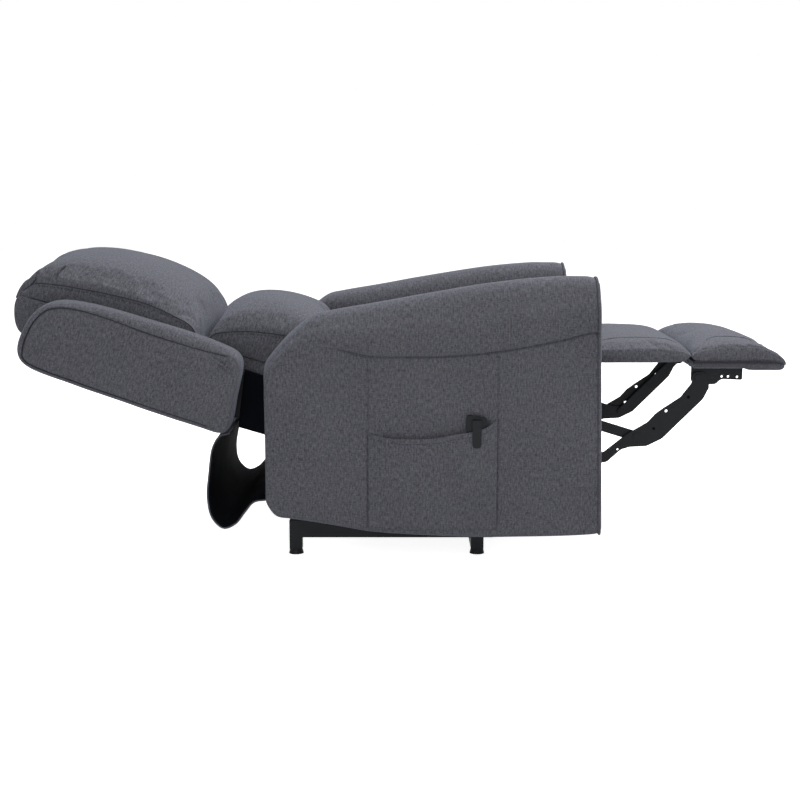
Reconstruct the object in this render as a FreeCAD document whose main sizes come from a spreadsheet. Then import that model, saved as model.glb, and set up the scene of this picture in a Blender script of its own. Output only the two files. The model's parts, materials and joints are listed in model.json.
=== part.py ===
import FreeCAD, Part, Sketcher
import math
import os
from types import SimpleNamespace
from FreeCAD import Placement, Rotation, Vector

# Power lift recliner chair, shown reclined with its footrest out and its base lowered.
# Millimetres. X runs to the front, Y to the sitter's left, Z up from the floor.
# Pieces that come in pairs are made on the left side and mirrored to the right.

document = FreeCAD.newDocument("LiftReclinerChair")

driving_sizes = {
    # arms
    "seat_half_width": 250.0,
    "arm_width": 120.0,
    "panel_inset": 4.0,
    "arm_rear": -315.0,
    "arm_bend": -208.0,
    "arm_middle": 60.0,
    "arm_crest": 345.0,
    "arm_front": 428.5,
    "ridge_rear": 466.0,
    "ridge_bend": 571.0,
    "ridge_middle": 620.0,
    "ridge_crest": 656.0,
    "ridge_front": 652.0,
    "roll_rear": 418.0,
    "roll_bend": 500.0,
    "roll_middle": 481.0,
    "roll_crest": 518.0,
    "roll_front": 534.0,
    "panel_rear_bottom": 147.0,
    "panel_bend_bottom": 106.0,
    "panel_bottom": 81.0,
    "rear_corner": 24.0,
    "front_lean": 0.0225,
    "facing_thickness": 8.0,
    "cover_thickness": 16.0,
    "frame_gap": 0.5,
    "seam_rear": -84.0,
    "seam_front": 205.0,
    "seam_depth": 2.5,
    "seam_width": 5.0,
    # base on the floor
    "rail_rear": -272.0,
    "rail_front": 205.0,
    "rail_width": 25.0,
    "rail_height": 40.0,
    "rail_bottom": 40.0,
    "rail_side_gap": 3.0,
    "tube_wall": 2.0,
    "rear_foot": -257.0,
    "front_foot": 169.0,
    "foot_radius": 17.5,
    "foot_height": 12.0,
    "post_length": 30.0,
    "cross_bar_height": 13.0,
    "rear_tube_height": 30.0,
    # lift linkage
    "front_base_pivot_x": 150.0,
    "front_base_pivot_z": 70.0,
    "rear_base_pivot_x": 186.4,
    "rear_base_pivot_z": 53.4,
    "rear_seat_pivot_x": -170.0,
    "rear_seat_pivot_z": 120.0,
    "middle_seat_pivot_x": -37.0,
    "middle_seat_pivot_z": 80.0,
    "link_half_width": 16.0,
    "link_thickness": 4.0,
    "link_gap": 1.0,
    "pin_radius": 5.0,
    "pin_clearance": 0.05,
    "open_pivot_clearance": 0.6,
    # seat side plates and frame
    "plate_top": 372.0,
    "plate_front": 385.0,
    "recline_x": -195.0,
    "recline_z": 375.0,
    "shaft_radius": 9.0,
    "seat_rail_height": 26.0,
    "seat_rail_width": 35.0,
    "seat_frame_rear": -60.0,
    "webbing_width": 50.0,
    "webbing_thickness": 2.0,
    "cushion_side_gap": 7.0,
    "cushion_bottom": 402.3,
    "cushion_front": 398.0,
    "cushion_heel": -16.0,
    "cushion_tail": -150.0,
    "tail_height": 424.0,
    "heel_height": 470.0,
    "cushion_height": 516.0,
    # footrest linkage
    "fold_x": 438.0,
    "fold_z": 488.0,
    "toe_x": 686.0,
    "toe_z": 411.0,
    "elbow_x": 545.0,
    "elbow_z": 271.0,
    "tail_reach": 83.0,
    "tail_drop": 49.0,
    "twin_pivot_x": 28.0,
    "twin_pivot_z": -3.0,
    "footlink_half_width": 12.0,
    "footlink_gap": 2.0,
    "torque_tube_radius": 12.0,
    "bracket_rear": 670.0,
    "bracket_front": 790.0,
    "bracket_bottom": 408.0,
    "board_bottom": 439.0,
    "board_thickness": 13.0,
    "board_rear": 664.0,
    "board_front": 872.0,
    "pad_side_gap": 8.0,
    "pad_bottom": 452.3,
    "pad_top": 497.0,
    "chaise_rear": 412.0,
    "pad_valley": 662.0,
    "pad_tip": 878.0,
    # back, in its own frame: out from the recline shaft and up along the back
    "back_lean": 16.5,
    "core_side_gap": 12.0,
    "frame_rail_width": 20.0,
    "cross_rail_thickness": 18.0,
    "frame_rear": -104.0,
    "frame_front": -4.0,
    "frame_bottom": 52.0,
    "frame_top": 598.0,
    "bracket_thickness": 5.0,
    "bracket_reach": 190.0,
    "lining_thickness": 3.0,
    "lining_top": 186.0,
    "rear_panel_thickness": 12.0,
    "wing_offset": 38.0,
    "wing_thickness": 72.0,
    "wing_bottom": 188.5,
    "wing_top": 673.0,
    "wing_front": 68.0,
    "wing_rear": -128.0,
    "back_pad_thickness": 38.0,
    "back_pad_top": 711.0,
    "back_pad_bottom": 62.0,
    "head_pillow_bottom": 285.0,
    "head_pillow_top": 706.0,
    "head_pillow_depth": 144.0,
    "head_pillow_side_gap": 5.0,
    "lumbar_bottom": 24.0,
    "lumbar_depth": 143.0,
    "lumbar_side_gap": 14.0,
    "soft_gap": 0.4,
    # rear skirt
    "skirt_side_gap": 30.0,
    "skirt_start_x": -397.0,
    "skirt_start_z": 302.4,
    "skirt_drop": 218.4,
    "skirt_thickness": 4.0,
    # motors
    "motor_radius": 24.0,
    "motor_length": 105.0,
    "housing_radius": 20.0,
    "rod_radius": 10.0,
    "eye_radius": 13.0,
    "slot_play": 2.6,
    "lift_motor_x": 180.0,
    "lift_motor_z": 90.0,
    "lift_rod_x": 70.0,
    "lift_rod_z": 330.0,
    "lift_motor_y": -75.0,
    "back_motor_y": 90.0,
    "lever_angle": 28.5,
    "lever_height": 88.0,
    "lever_thickness": 8.0,
    # side pocket and handset
    "pocket_depth": 17.0,
    "pocket_wall": 2.0,
    "pocket_edge": 6.0,
    "pocket_bottom": 90.0,
    "pocket_rear_height": 310.0,
    "pocket_middle_height": 299.0,
    "pocket_front_height": 338.0,
    "handset_x": 158.0,
    "handset_width": 48.0,
    "handset_length": 150.0,
    "handset_thickness": 12.0,
    "handset_top": 354.0,
    "clip_width": 20.0,
    "clip_thickness": 2.5,
    "clip_bottom": 280.0,
    "button_radius": 7.0,
    "button_height": 1.0,
}

sheet = document.addObject("Spreadsheet::Sheet", "Sizes")
for row, (alias, number) in enumerate(driving_sizes.items(), start=1):
    sheet.set(f"A{row}", alias)
    sheet.set(f"B{row}", str(number))
    sheet.setAlias(f"B{row}", alias)
document.recompute()


class Size:
    """A number that remembers the spreadsheet formula it came from."""

    def __init__(self, number, formula):
        self.number = float(number)
        self.formula = formula

    def __float__(self):
        return self.number

    def __add__(self, other):
        other = as_size(other)
        return Size(self.number + other.number, f"({self.formula} + {other.formula})")

    def __radd__(self, other):
        return as_size(other) + self

    def __sub__(self, other):
        other = as_size(other)
        return Size(self.number - other.number, f"({self.formula} - {other.formula})")

    def __rsub__(self, other):
        return as_size(other) - self

    def __neg__(self):
        return as_size(0) - self

    def __mul__(self, factor):
        factor = as_size(factor)
        return Size(self.number * factor.number, f"({self.formula} * {factor.formula})")

    def __rmul__(self, factor):
        return self * factor

    def __truediv__(self, divisor):
        divisor = as_size(divisor)
        return Size(self.number / divisor.number, f"({self.formula} / {divisor.formula})")


def as_size(value):
    if isinstance(value, Size):
        return value
    return Size(value, f"{float(value):.6f}")


size = SimpleNamespace(
    **{alias: Size(sheet.get(alias), f"Sizes.{alias}") for alias in driving_sizes}
)

# Widths that follow from the space between the arms

size.half_width = size.seat_half_width + size.arm_width
size.rail_inner = size.seat_half_width - size.rail_side_gap - size.rail_width
size.cushion_half_width = size.seat_half_width - size.cushion_side_gap
size.pad_half_width = size.seat_half_width - size.pad_side_gap
size.core_half_width = size.seat_half_width - size.core_side_gap
size.lumbar_half_width = size.seat_half_width - size.lumbar_side_gap
size.wing_inner = size.seat_half_width + size.wing_offset
size.wing_outer = size.wing_inner + size.wing_thickness
size.head_pillow_half_width = size.wing_inner - size.head_pillow_side_gap
size.skirt_half_width = size.wing_outer - size.skirt_side_gap


# General helpers


def bind(item, **properties):
    """Tie properties of an object to spreadsheet formulas; two underscores stand for a dot."""
    for name, value in properties.items():
        item.setExpression(name.replace("__", "."), as_size(value).formula)


def box(label, x, y, z):
    """A block between two values along each axis."""
    block = document.addObject("Part::Box", label)
    bind(
        block,
        Length=as_size(x[1]) - x[0],
        Width=as_size(y[1]) - y[0],
        Height=as_size(z[1]) - z[0],
        Placement__Base__x=x[0],
        Placement__Base__y=y[0],
        Placement__Base__z=z[0],
    )
    return block


def rod(label, radius, start, end):
    """A round bar between two points; it is bound to its radius."""
    a = Vector(*(float(value) for value in start))
    b = Vector(*(float(value) for value in end))
    bar = document.addObject("Part::Cylinder", label)
    bar.Height = (b - a).Length
    bar.Placement = Placement(a, Rotation(Vector(0, 0, 1), b - a))
    bind(bar, Radius=radius)
    return bar


def cross_rod(label, radius, x, y, z):
    """A round bar that lies along Y between the two values of y."""
    bar = document.addObject("Part::Cylinder", label)
    bar.Placement = Placement(Vector(0, 0, 0), Rotation(Vector(1, 0, 0), -90))
    bind(
        bar,
        Radius=radius,
        Height=as_size(y[1]) - y[0],
        Placement__Base__x=x,
        Placement__Base__y=y[0],
        Placement__Base__z=z,
    )
    return bar


def fuse(label, pieces):
    joined = document.addObject("Part::MultiFuse", label)
    joined.Shapes = pieces
    joined.Refine = True
    return joined


def cut(label, base, tools):
    tool = tools[0] if len(tools) == 1 else fuse(label + "_tools", tools)
    result = document.addObject("Part::Cut", label)
    result.Base = base
    result.Tool = tool
    return result


def group(label, pieces):
    together = document.addObject("Part::Compound", label)
    together.Links = pieces
    return together


def mirrored(label, piece):
    image = document.addObject("Part::Mirroring", label)
    image.Source = piece
    image.Normal = Vector(0, 1, 0)
    return image


def both_sides(label, pieces):
    """The pieces of the left side and their mirror images, as one group."""
    images = [mirrored(piece.Name + "_right", piece) for piece in pieces]
    return group(label, list(pieces) + images)


def outline_curves(corners):
    """Lines and arcs round a closed outline of (x, z, corner radius)."""
    points = [Vector(float(x), float(z), 0) for x, z, radius in corners]
    radii = [float(radius) for x, z, radius in corners]
    entries = []
    for index, point in enumerate(points):
        before = (points[index - 1] - point).normalize()
        after = (points[(index + 1) % len(points)] - point).normalize()
        if radii[index] == 0:
            entries.append((point, point, point))
            continue
        half_angle = before.getAngle(after) / 2
        reach = radii[index] / math.tan(half_angle)
        middle = (before + after).normalize()
        centre = point + middle * (radii[index] / math.sin(half_angle))
        entries.append((point + before * reach, centre - middle * radii[index], point + after * reach))
    curves = []
    for index, (start, middle, end) in enumerate(entries):
        if radii[index]:
            curves.append(Part.Arc(start, middle, end))
        following = entries[(index + 1) % len(entries)][0]
        if (following - end).Length > 0.01:
            curves.append(Part.LineSegment(end, following))
    return curves


def capsule_curves(a, b, radius):
    """The outline of a flat link with round ends at two pivots."""
    a = Vector(float(a[0]), float(a[1]), 0)
    b = Vector(float(b[0]), float(b[1]), 0)
    radius = float(radius)
    along = (b - a).normalize() * radius
    across = Vector(-along.y, along.x, 0)
    return [
        Part.LineSegment(a - across, b - across),
        Part.Arc(b - across, b + along, b + across),
        Part.LineSegment(b + across, a + across),
        Part.Arc(a + across, a - along, a - across),
    ]


def side_sketch(body, name, curves):
    """A sketch in the body's XZ plane."""
    plane = [item for item in body.Origin.OriginFeatures if item.Role == "XZ_Plane"][0]
    sketch = body.newObject("Sketcher::SketchObject", name)
    sketch.AttachmentSupport = [(plane, "")]
    sketch.MapMode = "FlatFace"
    for curve in curves:
        sketch.addGeometry(curve)
    return sketch


def side_plate(label, outlines, inner, thickness, holes=(), windows=()):
    """A flat plate that stands on edge along the chair, made of one or more outlines.

    holes are (x, z, radius); windows are outlines cut right through.
    """
    body = document.addObject("PartDesign::Body", label)
    for number, curves in enumerate(outlines):
        pad = body.newObject("PartDesign::Pad", f"{label}_pad_{number}")
        pad.Profile = side_sketch(body, f"{label}_outline_{number}", curves)
        pad.Reversed = True
        bind(pad, Length=thickness)
    cuts = [[Part.Circle(Vector(float(x), float(z), 0), Vector(0, 0, 1), float(radius))] for x, z, radius in holes]
    cuts = cuts + list(windows)
    if cuts:
        sketch = side_sketch(body, f"{label}_hole_outline", [curve for curves in cuts for curve in curves])
        pocket = body.newObject("PartDesign::Pocket", f"{label}_holes")
        pocket.Profile = sketch
        pocket.Midplane = True
        pocket.Type = "ThroughAll"
        for number, (x, z, radius) in enumerate(holes):
            constraint = sketch.addConstraint(Sketcher.Constraint("Radius", number, float(radius)))
            if isinstance(radius, Size):
                sketch.setExpression(f"Constraints[{constraint}]", radius.formula)
    bind(body, Placement__Base__y=inner)
    return body


def solid_between(label, wires, ruled=False):
    """A closed form through sections."""
    form = document.addObject("Part::Feature", label)
    form.Shape = Part.makeLoft(wires, True, ruled)
    return form


def extruded(label, wire, direction):
    form = document.addObject("Part::Feature", label)
    form.Shape = Part.Face(wire).extrude(direction)
    return form


def section(start, steps, place):
    """A closed wire: a step of 2 numbers is a line, a step of 4 an arc through a middle point."""
    curves = []
    here = place(*start)
    for step in steps:
        step = [float(value) for value in step]
        if len(step) == 2:
            there = place(*step)
            curves.append(Part.LineSegment(here, there).toShape())
        else:
            through, there = place(step[0], step[1]), place(step[2], step[3])
            if (through - here).getAngle(there - through) < 0.001:
                curves.append(Part.LineSegment(here, there).toShape())
            else:
                curves.append(Part.Arc(here, through, there).toShape())
        here = there
    return Part.Wire(curves)


nodes = []


def node(piece, label):
    """Name a finished sub-part."""
    piece.Label = label
    nodes.append(piece)
    return piece


# Pivots, each (x, z)

front_base_pivot = (size.front_base_pivot_x, size.front_base_pivot_z)
rear_base_pivot = (size.rear_base_pivot_x, size.rear_base_pivot_z)
rear_seat_pivot = (size.rear_seat_pivot_x, size.rear_seat_pivot_z)
middle_seat_pivot = (size.middle_seat_pivot_x, size.middle_seat_pivot_z)
recline_pivot = (size.recline_x, size.recline_z)
toe_pivot = (size.toe_x, size.toe_z)
elbow_pivot = (size.elbow_x, size.elbow_z)
crank_pivot = (size.fold_x + size.elbow_x - size.toe_x, size.fold_z + size.elbow_z - size.toe_z)
tail_pivot = (size.elbow_x - size.tail_reach, size.elbow_z - size.tail_drop)
rear_crank_pivot = (crank_pivot[0] - size.tail_reach, crank_pivot[1] - size.tail_drop)
twin_elbow_pivot = (size.elbow_x + size.twin_pivot_x, size.elbow_z + size.twin_pivot_z)
twin_toe_pivot = (size.toe_x + size.twin_pivot_x, size.toe_z + size.twin_pivot_z)
lift_motor_pivot = (size.lift_motor_x, size.lift_motor_z)
lift_rod_pivot = (size.lift_rod_x, size.lift_rod_z)

running_hole = size.pin_radius + size.pin_clearance
pressed_hole = size.pin_radius

# Layers across the chair, from the base rails inwards, each the lower |Y| of its plates

link = size.link_thickness
ear_layer = size.rail_inner - link
front_link_layer = ear_layer - size.link_gap - link
rear_link_layer = front_link_layer - size.link_gap - link
plate_layer = rear_link_layer - size.footlink_gap - link
long_link_layer = plate_layer - size.footlink_gap - link
crank_layer = long_link_layer - size.footlink_gap - link
twin_link_layer = crank_layer - size.footlink_gap - link


# Base on the floor


def base_frame():
    outer = size.rail_inner + size.rail_width
    rail_top = size.rail_bottom + size.rail_height
    wall = size.tube_wall
    rail = cut(
        "side_rail",
        box("rail_outside", (size.rail_rear, size.rail_front), (size.rail_inner, outer), (size.rail_bottom, rail_top)),
        [
            box(
                "rail_inside",
                (size.rail_rear - wall, size.rail_front + wall),
                (size.rail_inner + wall, outer - wall),
                (size.rail_bottom + wall, rail_top - wall),
            )
        ],
    )
    half_post = size.post_length / 2
    posts = [
        box(
            f"{name}_post",
            (foot - half_post, foot + half_post),
            (size.rail_inner, outer),
            (size.foot_height, size.rail_bottom),
        )
        for name, foot in (("front", size.front_foot), ("rear", size.rear_foot))
    ]
    reach = size.link_half_width + 6
    ear = side_plate(
        "ear",
        [
            outline_curves(
                [
                    (size.front_base_pivot_x - reach, size.rail_bottom, 4),
                    (size.rail_front, size.rail_bottom, 4),
                    (size.rail_front, size.rear_base_pivot_z + reach / 2, 6),
                    (size.front_base_pivot_x + 12, size.front_base_pivot_z + 15, 12),
                    (size.front_base_pivot_x - 12, size.front_base_pivot_z + 15, 12),
                ]
            )
        ],
        ear_layer,
        link,
        holes=[(*front_base_pivot, pressed_hole), (*rear_base_pivot, pressed_hole)],
    )
    side = fuse("base_side", [rail, *posts, ear])
    inside = (-size.rail_inner, size.rail_inner)
    front_bar = box(
        "front_cross_bar",
        (size.front_foot - half_post, size.front_foot + half_post),
        inside,
        (size.foot_height, size.foot_height + size.cross_bar_height),
    )
    rear_tube = box(
        "rear_cross_tube",
        (size.rail_rear, size.rail_rear + size.post_length),
        inside,
        (size.rail_bottom + 4, size.rail_bottom + 4 + size.rear_tube_height),
    )
    clevis = side_plate(
        "lift_clevis",
        [
            outline_curves(
                [
                    (size.front_foot - half_post, size.foot_height + size.cross_bar_height, 0),
                    (size.front_foot + half_post, size.foot_height + size.cross_bar_height, 0),
                    (size.lift_motor_x + 15, size.lift_motor_z + 14, 13),
                    (size.lift_motor_x - 15, size.lift_motor_z + 14, 13),
                ]
            )
        ],
        size.lift_motor_y + 14,
        link,
        holes=[(*lift_motor_pivot, pressed_hole)],
    )
    clevis_twin = document.addObject("Part::Feature", "lift_clevis_twin")
    document.recompute()
    clevis_twin.Shape = clevis.Shape
    clevis_twin.Placement = Placement(Vector(0, float(size.lift_motor_y - 14 - link), 0), Rotation())
    return node(
        group("base_frame", [side, mirrored("base_side_right", side), front_bar, rear_tube, clevis, clevis_twin]),
        "base_frame",
    )


def base_feet():
    middle = size.rail_inner + size.rail_width / 2
    feet = []
    for name, x in (("front", size.front_foot), ("rear", size.rear_foot)):
        foot = document.addObject("Part::Cone", f"{name}_foot_pad")
        bind(
            foot,
            Radius1=size.foot_radius,
            Radius2=size.foot_radius - 3,
            Height=size.foot_height,
            Placement__Base__x=x,
            Placement__Base__y=middle,
        )
        feet.append(foot)
    return node(both_sides("base_feet", feet), "base_feet")


def base_pins():
    front = cross_rod("front_lift_pin", size.pin_radius, front_base_pivot[0],
                      (front_link_layer - 0.2, size.rail_inner), front_base_pivot[1])
    rear = cross_rod("rear_lift_pin", size.pin_radius, rear_base_pivot[0],
                     (rear_link_layer - 0.2, size.rail_inner), rear_base_pivot[1])
    rear_head = cross_rod("rear_lift_pin_head", size.pin_radius + 3, rear_base_pivot[0],
                          (rear_link_layer - 3.4, rear_link_layer - 0.4), rear_base_pivot[1])
    stem = cross_rod("rear_lift_pin_stem", size.pin_radius, rear_base_pivot[0],
                     (rear_link_layer - 0.5, rear_link_layer), rear_base_pivot[1])
    motor_pin = cross_rod("lift_motor_pin", size.pin_radius, size.lift_motor_x,
                          (size.lift_motor_y - 14 - link - 3, size.lift_motor_y + 14 + link + 3), size.lift_motor_z)
    sides = both_sides("base_pin_sides", [front, fuse("rear_lift_pin_headed", [rear, stem, rear_head])])
    return node(group("base_pins", [sides, motor_pin]), "base_pins")


def lift_links():
    front = side_plate(
        "front_lift_link",
        [capsule_curves(front_base_pivot, rear_seat_pivot, size.link_half_width)],
        front_link_layer,
        link,
        holes=[(*front_base_pivot, running_hole), (*rear_seat_pivot, running_hole)],
    )
    rear = side_plate(
        "rear_lift_link",
        [capsule_curves(rear_base_pivot, middle_seat_pivot, size.link_half_width)],
        rear_link_layer,
        link,
        holes=[
            (*rear_base_pivot, running_hole),
            (*middle_seat_pivot, size.pin_radius + size.open_pivot_clearance),
        ],
    )
    node(both_sides("front_lift_links", [front]), "front_lift_links")
    node(both_sides("rear_lift_links", [rear]), "rear_lift_links")


# Seat and its side plates


def side_plates():
    rear_x, rear_z = rear_seat_pivot
    middle_x, middle_z = middle_seat_pivot
    hinge_x, hinge_z = recline_pivot
    outline = outline_curves(
        [
            (hinge_x - 26, hinge_z + 24, 22),
            (hinge_x + 26, hinge_z + 24, 22),
            (hinge_x + 48, size.plate_top, 10),
            (size.plate_front, size.plate_top, 4),
            (size.plate_front, size.plate_top - 34, 12),
            (crank_pivot[0] + 22, crank_pivot[1] - 24, 18),
            (rear_crank_pivot[0] + 14, rear_crank_pivot[1] - 26, 16),
            (middle_x + 120, middle_z + 70, 30),
            (middle_x + 24, middle_z - 18, 16),
            (middle_x - 24, middle_z - 18, 16),
            (rear_x + 60, rear_z - 18, 20),
            (rear_x - 22, rear_z - 20, 16),
            (rear_x - 22, rear_z + 60, 20),
            (hinge_x - 26, hinge_z - 60, 12),
        ]
    )
    windows = [
        outline_curves(
            [(rear_x + 14, rear_z + 60, 14), (middle_x + 6, middle_z + 76, 14), (middle_x + 6, size.plate_top - 40, 14),
             (rear_x + 20, size.plate_top - 40, 14)]
        ),
        outline_curves(
            [(middle_x + 46, middle_z + 86, 12), (rear_crank_pivot[0] - 26, rear_crank_pivot[1] - 34, 12),
             (rear_crank_pivot[0] - 26, size.plate_top - 40, 12), (middle_x + 46, size.plate_top - 40, 12)]
        ),
    ]
    plate = side_plate(
        "side_plate",
        [outline],
        plate_layer,
        link,
        holes=[
            (*rear_seat_pivot, pressed_hole),
            (*middle_seat_pivot, pressed_hole),
            (*crank_pivot, pressed_hole),
            (*rear_crank_pivot, pressed_hole),
            (*recline_pivot, size.shaft_radius + size.pin_clearance),
        ],
        windows=windows,
    )
    return node(both_sides("mechanism_side_plates", [plate]), "mechanism_side_plates")


def seat_pins():
    outside = plate_layer + link
    pins = []
    for name, pivot, span in (
        ("rear_seat_pin", rear_seat_pivot, (plate_layer, front_link_layer + link + 0.2)),
        ("middle_seat_pin", middle_seat_pivot, (plate_layer, rear_link_layer + link + 0.2)),
        ("crank_pin", crank_pivot, (crank_layer - 0.2, outside)),
        ("rear_crank_pin", rear_crank_pivot, (crank_layer - 0.2, outside)),
    ):
        pins.append(cross_rod(name, size.pin_radius, pivot[0], span, pivot[1]))
    head_y = front_link_layer + link + 0.2
    pins[0] = fuse(
        "rear_seat_pin_headed",
        [pins[0], cross_rod("rear_seat_pin_head", size.pin_radius + 3, rear_seat_pivot[0], (head_y, head_y + 3),
                            rear_seat_pivot[1])],
    )
    return node(both_sides("seat_pivot_pins", pins), "seat_pivot_pins")


def seat_frame():
    inner_face = size.seat_half_width
    top = size.plate_top + size.seat_rail_height
    rear = size.seat_frame_rear
    front = size.plate_front
    rails = [
        box("front_seat_rail", (front - size.seat_rail_width, front), (-inner_face, inner_face), (size.plate_top, top)),
        box("rear_seat_rail", (rear, rear + size.seat_rail_width), (-inner_face, inner_face), (size.plate_top, top)),
    ]
    between = (rear + size.seat_rail_width, front - size.seat_rail_width)
    outer = plate_layer + size.seat_rail_width
    rails.append(box("left_seat_rail", between, (plate_layer, outer), (size.plate_top, top)))
    rails.append(box("right_seat_rail", between, (-outer, -plate_layer), (size.plate_top, top)))
    return node(group("seat_frame", rails), "seat_frame")


def seat_webbing():
    level = size.plate_top + size.seat_rail_height
    layer = size.webbing_thickness
    straps = []
    reach = plate_layer
    for number in range(5):
        y = -140 + 70 * number
        straps.append(box(f"long_strap_{number}", (size.seat_frame_rear, size.plate_front),
                          (y - size.webbing_width / 2, y + size.webbing_width / 2), (level, level + layer)))
    for number in range(4):
        x = 20 + 90 * number
        straps.append(box(f"cross_strap_{number}", (x, x + size.webbing_width), (-reach, reach),
                          (level + layer, level + layer * 2)))
    return node(fuse("seat_webbing", straps), "seat_webbing")


def cushion_section(x, bottom, top, half, crown):
    """Across a cushion at one station: a flat bottom, drawn-in sides and a crowned top."""
    x, bottom, top, half = float(x), float(bottom), float(top), float(half)
    height = top - bottom
    shoulder = min(24.0, height * 0.45)
    swell = min(6.0, (height - shoulder) * 0.45)
    side = half - swell
    return section(
        (-side, bottom),
        [
            (side, bottom),
            (half, bottom + (height - shoulder) / 2, side, top - shoulder),
            (side - shoulder * 0.3, top - shoulder * 0.3, side - shoulder, top),
            (0, top + crown, -(side - shoulder), top),
            (-(side - shoulder * 0.3), top - shoulder * 0.3, -side, top - shoulder),
            (-half, bottom + (height - shoulder) / 2, -side, bottom),
        ],
        lambda y, z: Vector(x, y, z),
    )


def seat_cushion():
    bottom = size.cushion_bottom
    half = size.cushion_half_width
    top = size.cushion_height
    stations = [
        (size.cushion_tail, size.tail_height - 6, 0),
        (size.cushion_tail + 12, size.tail_height, 0),
        (size.cushion_heel - 14, size.tail_height + 2, 0),
        (size.cushion_heel + 6, size.heel_height - 10, 3),
        (size.cushion_heel + 40, size.heel_height, 6),
        (size.cushion_heel + 200, (size.heel_height + top) / 2, 8),
        (size.cushion_front - 70, top, 6),
        (size.cushion_front - 24, top - 8, 4),
        (size.cushion_front - 6, top - 34, 2),
        (size.cushion_front, top - 70, 0),
    ]
    wires = [cushion_section(x, bottom, height, half, crown) for x, height, crown in stations]
    return node(solid_between("seat_cushion", wires, ruled=True), "seat_cushion")


# Arms


def arm_section(x, bottom, roll, ridge, inset=0.0, lean=0.0):
    """Across the left arm at one station: a flat outer panel under a roll of fabric.

    lean moves the foot of the section forward by that share of its height.
    """
    x, bottom, roll, ridge = float(x), float(bottom), float(roll), float(ridge)
    panel = float(size.half_width - size.panel_inset) - inset
    outer = float(size.half_width) - inset
    inner = float(size.half_width - size.arm_width) + inset
    middle = float(size.half_width - size.arm_width / 2)
    ridge = ridge - inset
    drop = ridge - roll
    return section(
        (inner, bottom + inset),
        [
            (panel, bottom + inset),
            (panel, roll),
            (outer, roll + drop * 0.28, outer - 12, roll + drop * 0.66),
            (outer - 28, roll + drop * 0.91, middle, ridge),
            (inner + 16, roll + drop * 0.86, inner, roll + drop * 0.42),
            (inner, bottom + inset),
        ],
        lambda y, z: Vector(x + lean * (400 - z), y, z),
    )


def arm_stations():
    """(x, bottom, roll seam, ridge) from the rear to the front of the arm."""
    corner = size.rear_corner
    slope = (size.ridge_bend - size.ridge_rear) / (size.arm_bend - size.arm_rear)
    near_rear = size.arm_rear + corner
    halfway = (size.arm_rear + size.arm_bend) / 2
    past_bend = size.arm_bend + 40
    rise = (size.ridge_middle - size.ridge_bend) / (size.arm_middle - size.arm_bend)
    return [
        (size.arm_rear, size.panel_rear_bottom, size.roll_rear, size.ridge_rear),
        (near_rear, size.panel_rear_bottom - 28, size.roll_rear + 22, size.ridge_rear + slope * corner + 6),
        (halfway, size.panel_bend_bottom + 8, size.roll_rear + 56, (size.ridge_rear + size.ridge_bend) / 2 + 9),
        (size.arm_bend, size.panel_bend_bottom, size.roll_bend, size.ridge_bend - 1),
        (past_bend, size.panel_bend_bottom - 6, size.roll_bend + 2, size.ridge_bend + rise * 40 + 2),
        (size.arm_bend + 130, size.panel_bottom + 3, size.roll_middle + 2, size.ridge_bend + rise * 130 + 1),
        (size.arm_middle, size.panel_bottom, size.roll_middle, size.ridge_middle),
        (size.seam_front, size.panel_bottom, size.roll_middle + 12, size.ridge_crest - 13),
        (size.arm_crest, size.panel_bottom, size.roll_crest, size.ridge_crest),
        (size.arm_front - 18, size.panel_bottom, size.roll_front, size.ridge_crest),
        (size.arm_front, size.panel_bottom + 2, size.roll_front, size.ridge_front),
    ]


def arm_hollow(label, inset_x, inset_y, inset_z):
    """The space inside the arm cover, as a block that follows the side of the arm."""
    wall = float(size.cover_thickness)
    rear = float(size.arm_rear) + wall + inset_x
    front = float(size.arm_front) - wall - inset_x
    bend = float(size.arm_bend) + wall
    under_roll = 62 + inset_z
    bottom = float(size.panel_bottom) + wall + inset_z
    outline = outline_curves(
        [
            (rear, float(size.panel_rear_bottom) + 20 + inset_z, 0),
            (rear + 26, float(size.panel_bend_bottom) + 24 + inset_z, 0),
            (bend + 130, bottom, 0),
            (front, bottom, 0),
            (front, float(size.ridge_crest) - under_roll - 14, 0),
            (bend, float(size.ridge_bend) - under_roll, 0),
            (rear, float(size.ridge_rear) - under_roll, 0),
        ]
    )
    inner = size.half_width - size.arm_width + wall + 8 + inset_y
    outer = size.half_width - wall - 12 - inset_y
    return side_plate(label, [outline], inner, outer - inner)


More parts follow.
